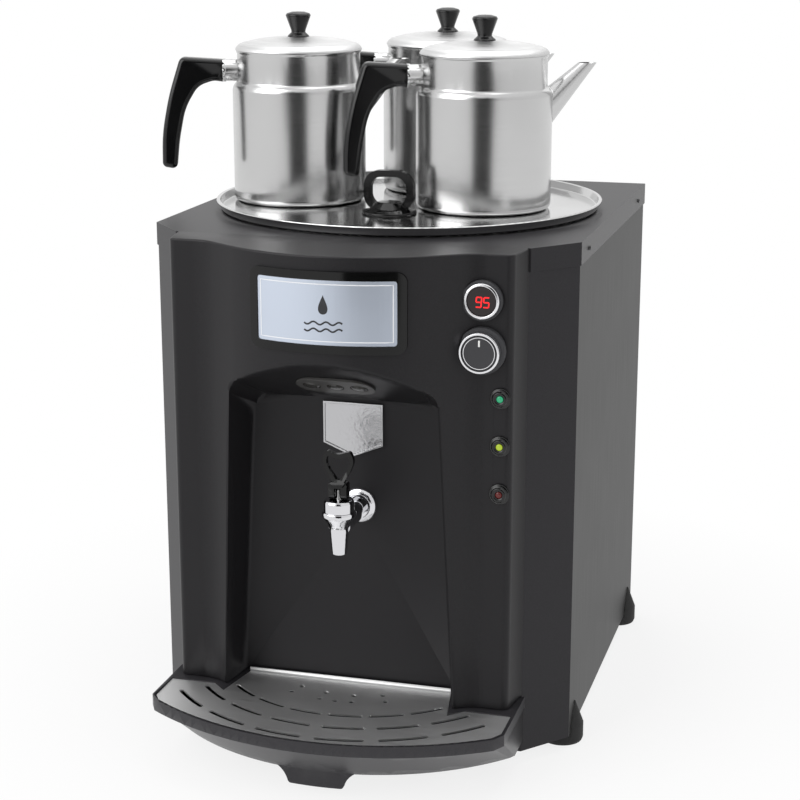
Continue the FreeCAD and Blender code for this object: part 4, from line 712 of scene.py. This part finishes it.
@dataclass
class Cabinet:
    """Sheet-metal cabinet with its inner works."""

    edge_mm: float = 0.5
    plain: tuple[str, ...] = ("base_pan", "back_panel", "tank_stand", "water_tank", "tank_jacket",
                              "heating_element", "nuts", "seals", "dry_run_cutout", "terminal_block",
                              "cable_gland", "tray_rails", "feet", "front_chassis")
    edged: tuple[str, ...] = ("side_panel_left", "side_panel_right", "top_cover")

    def build(self) -> None:
        """Dress every sheet piece and the works inside."""
        lacquer = FINISHES["grey_paint"]
        for node in self.plain:
            dress(node, lacquer if node == "front_chassis" else None)
        for node in self.edged:
            dress(node, edge_mm=self.edge_mm)
        ScrewHeads().build()


@dataclass
class MouldedFront:
    """Front moulding with its niche lamp, framed sign and shield badge."""

    border_inset_mm: float = 3.4
    border_width_mm: float = 0.9
    proud_mm: float = 0.12
    plate_mm: float = 0.95
    side_steps: int = 6
    drop_height_mm: float = 17.0
    drop_girth: float = 0.36
    drop_point: float = 1.6
    drop_centre: float = 0.42
    wave_length_mm: float = 34.0
    wave_height_mm: float = 2.6
    wave_drop_mm: float = 9.0
    wave_pitch_mm: float = 6.0
    wave_width_mm: float = 1.5
    wave_rows: int = 2
    wave_half_turns: int = 6
    arc_steps: int = 28
    frame_edge_mm: float = 0.5
    trim_edge_mm: float = 0.4

    def sign_depth(self, x: float) -> float:
        """Return the Y of the sign plate's face at an X, from the arc through its middle and its ends."""
        low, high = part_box("sign_plate")
        thickness = self.plate_mm * MM
        nose = low.y
        reach = max(abs(low.x), abs(high.x))
        sag = high.y - thickness - nose
        radius = (reach ** 2 + sag ** 2) / (2 * sag)
        return nose + radius - math.sqrt(radius ** 2 - x ** 2)

    def strip(self, made: bmesh.types.BMesh, line: list[tuple[float, float]], width: float,
              closed: bool = False) -> None:
        """Lay a thin raised ribbon on the sign plate along a line.

        Args:
            made: The bmesh that gets the ribbon.
            line: Points of X and Z.
            width: The ribbon's width.
            closed: True if the line is a loop.
        """
        count = len(line)
        rows = []
        for index, (x, z) in enumerate(line):
            before = line[index - 1] if closed or index > 0 else line[index]
            after = line[(index + 1) % count] if closed or index < count - 1 else line[index]
            run = Vector((after[0] - before[0], after[1] - before[1])).normalized()
            side = Vector((-run.y, run.x)) * width / 2
            row = []
            for way in (-1, 1):
                point_x = x + side.x * way
                point_z = z + side.y * way
                face_y = self.sign_depth(point_x)
                row.append(made.verts.new((point_x, face_y - self.proud_mm * MM, point_z)))
            rows.append(row)
        pairs = list(zip(rows, rows[1:]))
        if closed:
            pairs.append((rows[-1], rows[0]))
        for first, second in pairs:
            made.faces.new((first[0], second[0], second[1], first[1]))

    def sign_border(self) -> None:
        """Add the thin white line just inside the sign plate's edge."""
        low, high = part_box("sign_plate")
        inset = self.border_inset_mm * MM
        left, right = low.x + inset, high.x - inset
        floor, roof = low.z + inset, high.z - inset
        steps = self.arc_steps
        line = [(left + (right - left) * i / steps, floor) for i in range(steps + 1)]
        ups = self.side_steps
        line += [(right, floor + (roof - floor) * i / ups) for i in range(1, ups)]
        line += [(right - (right - left) * i / steps, roof) for i in range(steps + 1)]
        line += [(left, roof - (roof - floor) * i / ups) for i in range(1, ups)]
        made = bmesh.new()
        self.strip(made, line, self.border_width_mm * MM, closed=True)
        bmesh.ops.recalc_face_normals(made, faces=made.faces)
        turn_towards_front(made)
        new_piece("sign_border", mesh_of(made, "sign_border"), "cabinet",
                  MouldedPlastic("white_print", "#eef0f3", 0.45))

    def sign_motif(self) -> None:
        """Add a plain drop above two waves, a generic sign for hot water."""
        middle_point = middle("sign_plate")
        made = bmesh.new()
        height = self.drop_height_mm * MM
        outline = []
        for step in range(self.arc_steps):
            turn = 2 * math.pi * step / self.arc_steps
            narrow = math.sin(turn / 2) ** self.drop_point
            outline.append((middle_point.x + height * self.drop_girth * math.sin(turn) * narrow,
                            middle_point.z + height * (self.drop_centre + math.cos(turn) / 2)))
        corners = [made.verts.new((x, self.sign_depth(x) - self.proud_mm * MM, z)) for x, z in outline]
        made.faces.new(corners)
        bmesh.ops.triangulate(made, faces=made.faces[:])
        for row in range(self.wave_rows):
            line = []
            level = middle_point.z - (self.wave_drop_mm + row * self.wave_pitch_mm) * MM
            for step in range(self.arc_steps + 1):
                share = step / self.arc_steps - 0.5
                swing = math.sin(share * self.wave_half_turns * math.pi) / 2
                line.append((middle_point.x + share * self.wave_length_mm * MM,
                             level + self.wave_height_mm * MM * swing))
            self.strip(made, line, self.wave_width_mm * MM)
        turn_towards_front(made)
        new_piece("sign_motif", mesh_of(made, "sign_motif"), "cabinet",
                  MouldedPlastic("dark_print", "#26272b", 0.4))

    def build(self) -> None:
        """Dress the moulding and everything fixed on it."""
        dress("front_panel")
        dress("sign_frame", edge_mm=self.frame_edge_mm)
        dress("sign_plate")
        self.sign_border()
        self.sign_motif()
        dress("badge", HammeredChrome("hammered_chrome", "#bdbdbf", 0.24), edge_mm=self.trim_edge_mm)
        dress("niche_lamp_housing", edge_mm=self.trim_edge_mm)
        dress("niche_lamp_lenses")


def turn_towards_front(made: bmesh.types.BMesh) -> None:
    """Turn every face of an open bmesh so that it faces the front."""
    made.normal_update()
    for face in made.faces:
        if face.normal.y > 0:
            face.normal_flip()


@dataclass
class Controls:
    """Thermometer, thermostat knob and pilot lamps on the right-hand pillar."""

    digit_height_mm: float = 8.6
    digit_width_mm: float = 4.7
    digit_pitch_mm: float = 6.6
    bar_mm: float = 1.15
    digit_proud_mm: float = 0.08
    digit_right_mm: float = 1.0
    digit_down_mm: float = 0.8
    digit_slant: float = 0.08
    bar_gap: float = 0.55
    bar_tip: float = 0.6
    pointer_top_mm: float = 11.4
    pointer_length_mm: float = 5.6
    pointer_width_mm: float = 1.7
    pointer_proud_mm: float = 0.15
    pointer_sunk_mm: float = 0.35
    pointer_edge_mm: float = 0.2
    reading: str = "95"
    segments: dict[str, str] = field(default_factory=lambda: {"9": "abcdfg", "5": "acdfg"})

    def digits(self) -> None:
        """Add the plain red digits of the thermometer's display."""
        low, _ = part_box("thermometer_window")
        centre = middle("thermometer_window")
        face_y = low.y - self.digit_proud_mm * MM
        half_w = self.digit_width_mm * MM / 2
        half_h = self.digit_height_mm * MM / 2
        bar = self.bar_mm * MM / 2
        bars = {"a": (0, half_h, 1), "g": (0, 0, 1), "d": (0, -half_h, 1), "f": (-half_w, half_h / 2, 0),
                "b": (half_w, half_h / 2, 0), "e": (-half_w, -half_h / 2, 0), "c": (half_w, -half_h / 2, 0)}
        made = bmesh.new()
        for index, digit in enumerate(self.reading):
            place = index - (len(self.reading) - 1) / 2
            shift = (place * self.digit_pitch_mm + self.digit_right_mm) * MM
            for letter in self.segments[digit]:
                x, z, flat = bars[letter]
                long_half = (half_w if flat else half_h / 2) - bar * self.bar_gap
                tip = long_half + bar * self.bar_tip
                shape = [(-tip, 0), (-long_half, bar), (long_half, bar), (tip, 0), (long_half, -bar),
                         (-long_half, -bar)]
                corners = []
                for along, across in shape:
                    dx, dz = (along, across) if flat else (across, along)
                    slant = (z + dz) * self.digit_slant
                    corners.append(made.verts.new((centre.x + shift + x + dx + slant, face_y,
                                                   centre.z - self.digit_down_mm * MM + z + dz)))
                made.faces.new(corners)
        turn_towards_front(made)
        new_piece("thermometer_digits", mesh_of(made, "thermometer_digits"), "cabinet",
                  Lens("red_led_segments", "#d8141b", 0.4, glow="#ff1f22", strength=0.9))

    def pointer(self) -> None:
        """Add the knob's white pointer line."""
        centre = middle("knob")
        half = self.pointer_width_mm * MM / 2
        top = centre.z + self.pointer_top_mm * MM
        foot = top - self.pointer_length_mm * MM
        face_y = front_face("knob", centre.x, (top + foot) / 2)
        corner_low = Vector((centre.x - half, face_y - self.pointer_proud_mm * MM, foot))
        corner_high = Vector((centre.x + half, face_y + self.pointer_sunk_mm * MM, top))
        mesh = soft_box("knob_pointer", corner_low, corner_high, self.pointer_edge_mm * MM)
        new_piece("knob_pointer", mesh, "knob", MouldedPlastic("white_paint", "#f0f0ee", 0.4))

    def build(self) -> None:
        """Dress the controls."""
        for node in ("thermometer_bezel", "thermometer_module", "thermometer_window", "thermostat", "knob",
                     "knob_escutcheon", "knob_ring", "pilot_bezels", "pilot_lens_green", "pilot_lens_amber",
                     "pilot_lens_red"):
            dress(node)
        self.digits()
        self.pointer()


def soft_box(name: str, low: Vector, high: Vector, edge: float) -> bpy.types.Mesh:
    """Return a small block with rounded edges between two corners.

    Args:
        name: The mesh's name.
        low: The lowest corner.
        high: The highest corner.
        edge: The radius of its edges.

    Returns:
        The mesh.
    """
    made = bmesh.new()
    bmesh.ops.create_cube(made, size=1.0)
    size = high - low
    bmesh.ops.scale(made, vec=size, verts=made.verts)
    bmesh.ops.translate(made, vec=(low + high) / 2, verts=made.verts)
    bmesh.ops.bevel(made, geom=made.edges[:], offset=edge, segments=2, affect="EDGES", profile=0.5)
    return mesh_of(made, name)


@dataclass
class Tap:
    """Sprung chrome tap with its black lever."""

    nodes: tuple[str, ...] = ("tap_shank", "tap_flange", "tap_body", "tap_bonnet", "tap_stem", "seat_cup",
                              "lever_pin", "tap_spring", "tap_lever")

    def build(self) -> None:
        """Dress the tap's pieces."""
        for node in self.nodes:
            dress(node)


@dataclass
class DripTray:
    """Drip tray with its stainless grille."""

    def build(self) -> None:
        """Dress the tray and the grille."""
        dress("drip_tray", CoatedSheet("anthracite_tray_plastic", "#2f2e31", 0.34, flake="#3e3d40"))
        dress("drip_grille")


@dataclass
class TopPlate:
    """Round steam plate with its plug."""

    def build(self) -> None:
        """Dress the plate and the plug."""
        centre = middle("top_plate")
        steel = BrushedSteel("mirror_stainless_plate", "#cfcfcf", 0.12, brush=Brush.TURNED, pale="#d8d8d8",
                             anisotropy=0.2, depth_mm=0.001, centre=(centre.x, centre.y))
        dress("top_plate", steel)
        dress("fill_plug", FINISHES["gloss_black"])


@dataclass
class Teapot:
    """One stainless teapot with a black handle and knob."""

    side: str

    def build(self) -> None:
        """Dress the teapot's body, handle, lid and knob."""
        axis = middle(f"teapot_{self.side}_lid")
        steel = BrushedSteel(f"satin_stainless_{self.side}", "#c4c4c4", 0.2, brush=Brush.TURNED,
                             pale="#c9c9c9", anisotropy=0.6, grain_mm=0.5, depth_mm=0.0004,
                             centre=(axis.x, axis.y))
        lid = BrushedSteel(f"satin_lid_{self.side}", "#d0d0d0", 0.40, brush=Brush.TURNED, pale="#d6d6d6",
                           anisotropy=0.4, depth_mm=0.0004, centre=(axis.x, axis.y))
        dress(f"teapot_{self.side}_body", steel)
        dress(f"teapot_{self.side}_lid", lid)
        dress(f"teapot_{self.side}_handle")
        dress(f"teapot_{self.side}_knob")


@dataclass(frozen=True)
class SoftBox:
    """A square studio lamp; mirrored is False if polished metal doesn't show it."""

    name: str
    place: tuple[float, float, float]
    watts: float
    size: float
    mirrored: bool = True


@dataclass
class Studio:
    """White studio: floor, world, black flag, three soft lamps and the camera."""

    floor_half: float = 6.0
    floor_near: float = 0.25
    floor_far: float = 0.6
    floor_glow_near: float = 0.8
    ambient: float = 0.5
    aim: tuple[float, float, float] = (0.0, -0.05, 0.35)
    boxes: tuple[SoftBox, ...] = (
        SoftBox("key", (-1.3, -1.5, 1.6), 26.0, 1.9),
        SoftBox("fill", (1.8, -0.9, 1.0), 7.0, 1.8, mirrored=False),
        SoftBox("top", (0.1, 0.3, 2.1), 16.0, 2.0))
    flag_azimuth: float = 13.0
    flag_distance: float = 2.25
    flag_half_width: float = 0.62
    flag_height: float = 1.5
    sky_low: float = 0.35
    sky_high: float = 0.65
    # Places round the horizon, from 0 to 1, and how bright the room is there.
    bands: tuple[tuple[float, float], ...] = (
        (0.0, 0.12), (0.01, 0.12), (0.03, 0.95), (0.30, 1.0), (0.5, 0.9), (0.72, 0.9), (0.87, 0.85),
        (0.905, 0.8), (0.925, 0.12), (1.0, 0.12))

    def floor(self) -> None:
        """Add the pale floor that keeps the urn's shadow."""
        half = self.floor_half
        mesh = bpy.data.meshes.new("floor")
        mesh.from_pydata([(-half, -half, 0), (half, -half, 0), (half, half, 0), (-half, half, 0)], [],
                         [(0, 1, 2, 3)])
        floor = bpy.data.objects.new("floor", mesh)
        bpy.context.scene.collection.objects.link(floor)
        material = bpy.data.materials.new("white_floor")
        material.use_nodes = True
        tree = material.node_tree
        tree.nodes.clear()
        matt = add_node(tree, "ShaderNodeBsdfDiffuse", {"Color": (0.9, 0.9, 0.9, 1.0)})
        white = add_node(tree, "ShaderNodeEmission", {"Color": (1.0, 1.0, 1.0, 1.0), "Strength": 1.0})
        rays = add_node(tree, "ShaderNodeLightPath")
        seen = add_node(tree, "ShaderNodeMath", {0: rays.outputs["Is Camera Ray"],
                                                 1: rays.outputs["Is Glossy Ray"]}, operation="MAXIMUM")
        spot = add_node(tree, "ShaderNodeTexCoord").outputs["Object"]
        distance = add_node(tree, "ShaderNodeVectorMath", {0: spot}, operation="LENGTH").outputs["Value"]
        plain = add_node(tree, "ShaderNodeMapRange",
                         {"Value": distance, "From Min": self.floor_near, "From Max": self.floor_far,
                          "To Min": self.floor_glow_near, "To Max": 1.0})
        share = add_node(tree, "ShaderNodeMath", {0: seen.outputs[0], 1: plain.outputs["Result"]},
                         operation="MULTIPLY")
        mixed = add_node(tree, "ShaderNodeMixShader", {0: share.outputs[0], 1: matt.outputs[0],
                                                       2: white.outputs[0]})
        add_node(tree, "ShaderNodeOutputMaterial", {"Surface": mixed.outputs[0]})
        mesh.materials.append(material)

    def world(self) -> None:
        """Add the world: even grey light, seen as white, with dark gaps between the studio's soft boxes."""
        world = bpy.data.worlds.new("studio")
        bpy.context.scene.world = world
        world.use_nodes = True
        tree = world.node_tree
        tree.nodes.clear()
        rays = add_node(tree, "ShaderNodeLightPath")
        direction = add_node(tree, "ShaderNodeTexCoord").outputs["Generated"]
        parts = add_node(tree, "ShaderNodeSeparateXYZ", {0: direction})
        azimuth = add_node(tree, "ShaderNodeMath", {0: parts.outputs["X"], 1: parts.outputs["Y"]},
                           operation="ARCTAN2")
        turn = add_node(tree, "ShaderNodeMapRange", {"Value": azimuth.outputs[0], "From Min": -math.pi,
                                                     "From Max": math.pi, "To Min": 0.0, "To Max": 1.0})
        ramp = add_node(tree, "ShaderNodeValToRGB", {"Fac": turn.outputs["Result"]})
        elements = ramp.color_ramp.elements
        while len(elements) < len(self.bands):
            elements.new(0.5)
        for element, (position, level) in zip(elements, self.bands):
            element.position = position
            element.color = (level, level, level, 1.0)
        plain = add_node(tree, "ShaderNodeBackground",
                         {"Color": (1.0, 1.0, 1.0, 1.0), "Strength": self.ambient})
        height = add_node(tree, "ShaderNodeMapRange",
                          {"Value": parts.outputs["Z"], "From Min": self.sky_low,
                           "From Max": self.sky_high})
        level = add_node(tree, "ShaderNodeMix",
                         {"Factor": height.outputs["Result"], "A": ramp.outputs["Color"],
                          "B": (1.0, 1.0, 1.0, 1.0)}, data_type="RGBA")
        banded = add_node(tree, "ShaderNodeBackground", {"Color": level.outputs["Result"], "Strength": 1.0})
        white = add_node(tree, "ShaderNodeBackground", {"Color": (1.0, 1.0, 1.0, 1.0), "Strength": 1.0})
        glossy = add_node(tree, "ShaderNodeMixShader",
                          {0: rays.outputs["Is Glossy Ray"], 1: plain.outputs[0], 2: banded.outputs[0]})
        clear = add_node(tree, "ShaderNodeMath",
                         {0: rays.outputs["Is Camera Ray"], 1: rays.outputs["Is Transmission Ray"]},
                         operation="MAXIMUM")
        seen = add_node(tree, "ShaderNodeMixShader", {0: clear.outputs[0], 1: glossy.outputs[0],
                                                      2: white.outputs[0]})
        add_node(tree, "ShaderNodeOutputWorld", {"Surface": seen.outputs[0]})

    def lamp(self, box: SoftBox) -> None:
        """Add a soft box that points at the urn.

        Args:
            box: The lamp to add.
        """
        data = bpy.data.lights.new(box.name, "AREA")
        data.energy = box.watts
        data.size = box.size
        lamp = bpy.data.objects.new(box.name, data)
        lamp.location = box.place
        ray = Vector(self.aim) - Vector(box.place)
        lamp.rotation_mode = "QUATERNION"
        lamp.rotation_quaternion = ray.to_track_quat("-Z", "Y")
        lamp.visible_camera = False
        lamp.visible_glossy = box.mirrored
        bpy.context.scene.collection.objects.link(lamp)

    def flag(self) -> None:
        """Stand the black flag behind the camera that gives polished metal its dark upright band."""
        towards = math.radians(self.flag_azimuth)
        out = Vector((math.sin(towards), -math.cos(towards), 0.0)) * self.flag_distance
        side = Vector((math.cos(towards), math.sin(towards), 0.0)) * self.flag_half_width
        rise = Vector((0.0, 0.0, self.flag_height))
        corners = [out - side, out + side, out + side + rise, out - side + rise]
        mesh = bpy.data.meshes.new("black_flag")
        mesh.from_pydata([tuple(corner) for corner in corners], [], [(0, 1, 2, 3)])
        mesh.materials.append(Finish("black_velvet", "#0a0a0a", 0.9).material())
        flag = bpy.data.objects.new("black_flag", mesh)
        flag.visible_camera = False
        flag.visible_diffuse = False
        flag.visible_shadow = False
        bpy.context.scene.collection.objects.link(flag)

    def camera(self) -> None:
        """Add the camera at the photograph's place."""
        data = bpy.data.cameras.new("camera")
        data.lens = CAMERA_LENS
        data.sensor_width = CAMERA_SENSOR
        camera = bpy.data.objects.new("camera", data)
        azimuth = math.radians(CAMERA_AZIMUTH)
        elevation = math.radians(CAMERA_ELEVATION)
        back = Vector((math.sin(azimuth) * math.cos(elevation), -math.cos(azimuth) * math.cos(elevation),
                       math.sin(elevation)))
        camera.rotation_mode = "QUATERNION"
        camera.rotation_quaternion = (-back).to_track_quat("-Z", "Y")
        camera.location = CAMERA_PLACE
        bpy.context.scene.collection.objects.link(camera)
        bpy.context.scene.camera = camera

    def build(self) -> None:
        """Set up the whole studio."""
        bpy.context.scene.view_settings.view_transform = "Standard"
        self.floor()
        self.world()
        self.flag()
        for box in self.boxes:
            self.lamp(box)
        self.camera()


def main() -> None:
    """Build the studio and every sub-assembly."""
    logging.basicConfig(level=logging.INFO, format="%(message)s")
    Studio().build()
    for assembly in (Cabinet(), MouldedFront(), Controls(), Tap(), DripTray(), TopPlate(), Teapot("left"),
                     Teapot("right"), Teapot("rear")):
        assembly.build()


if __name__ == "__main__":
    main()
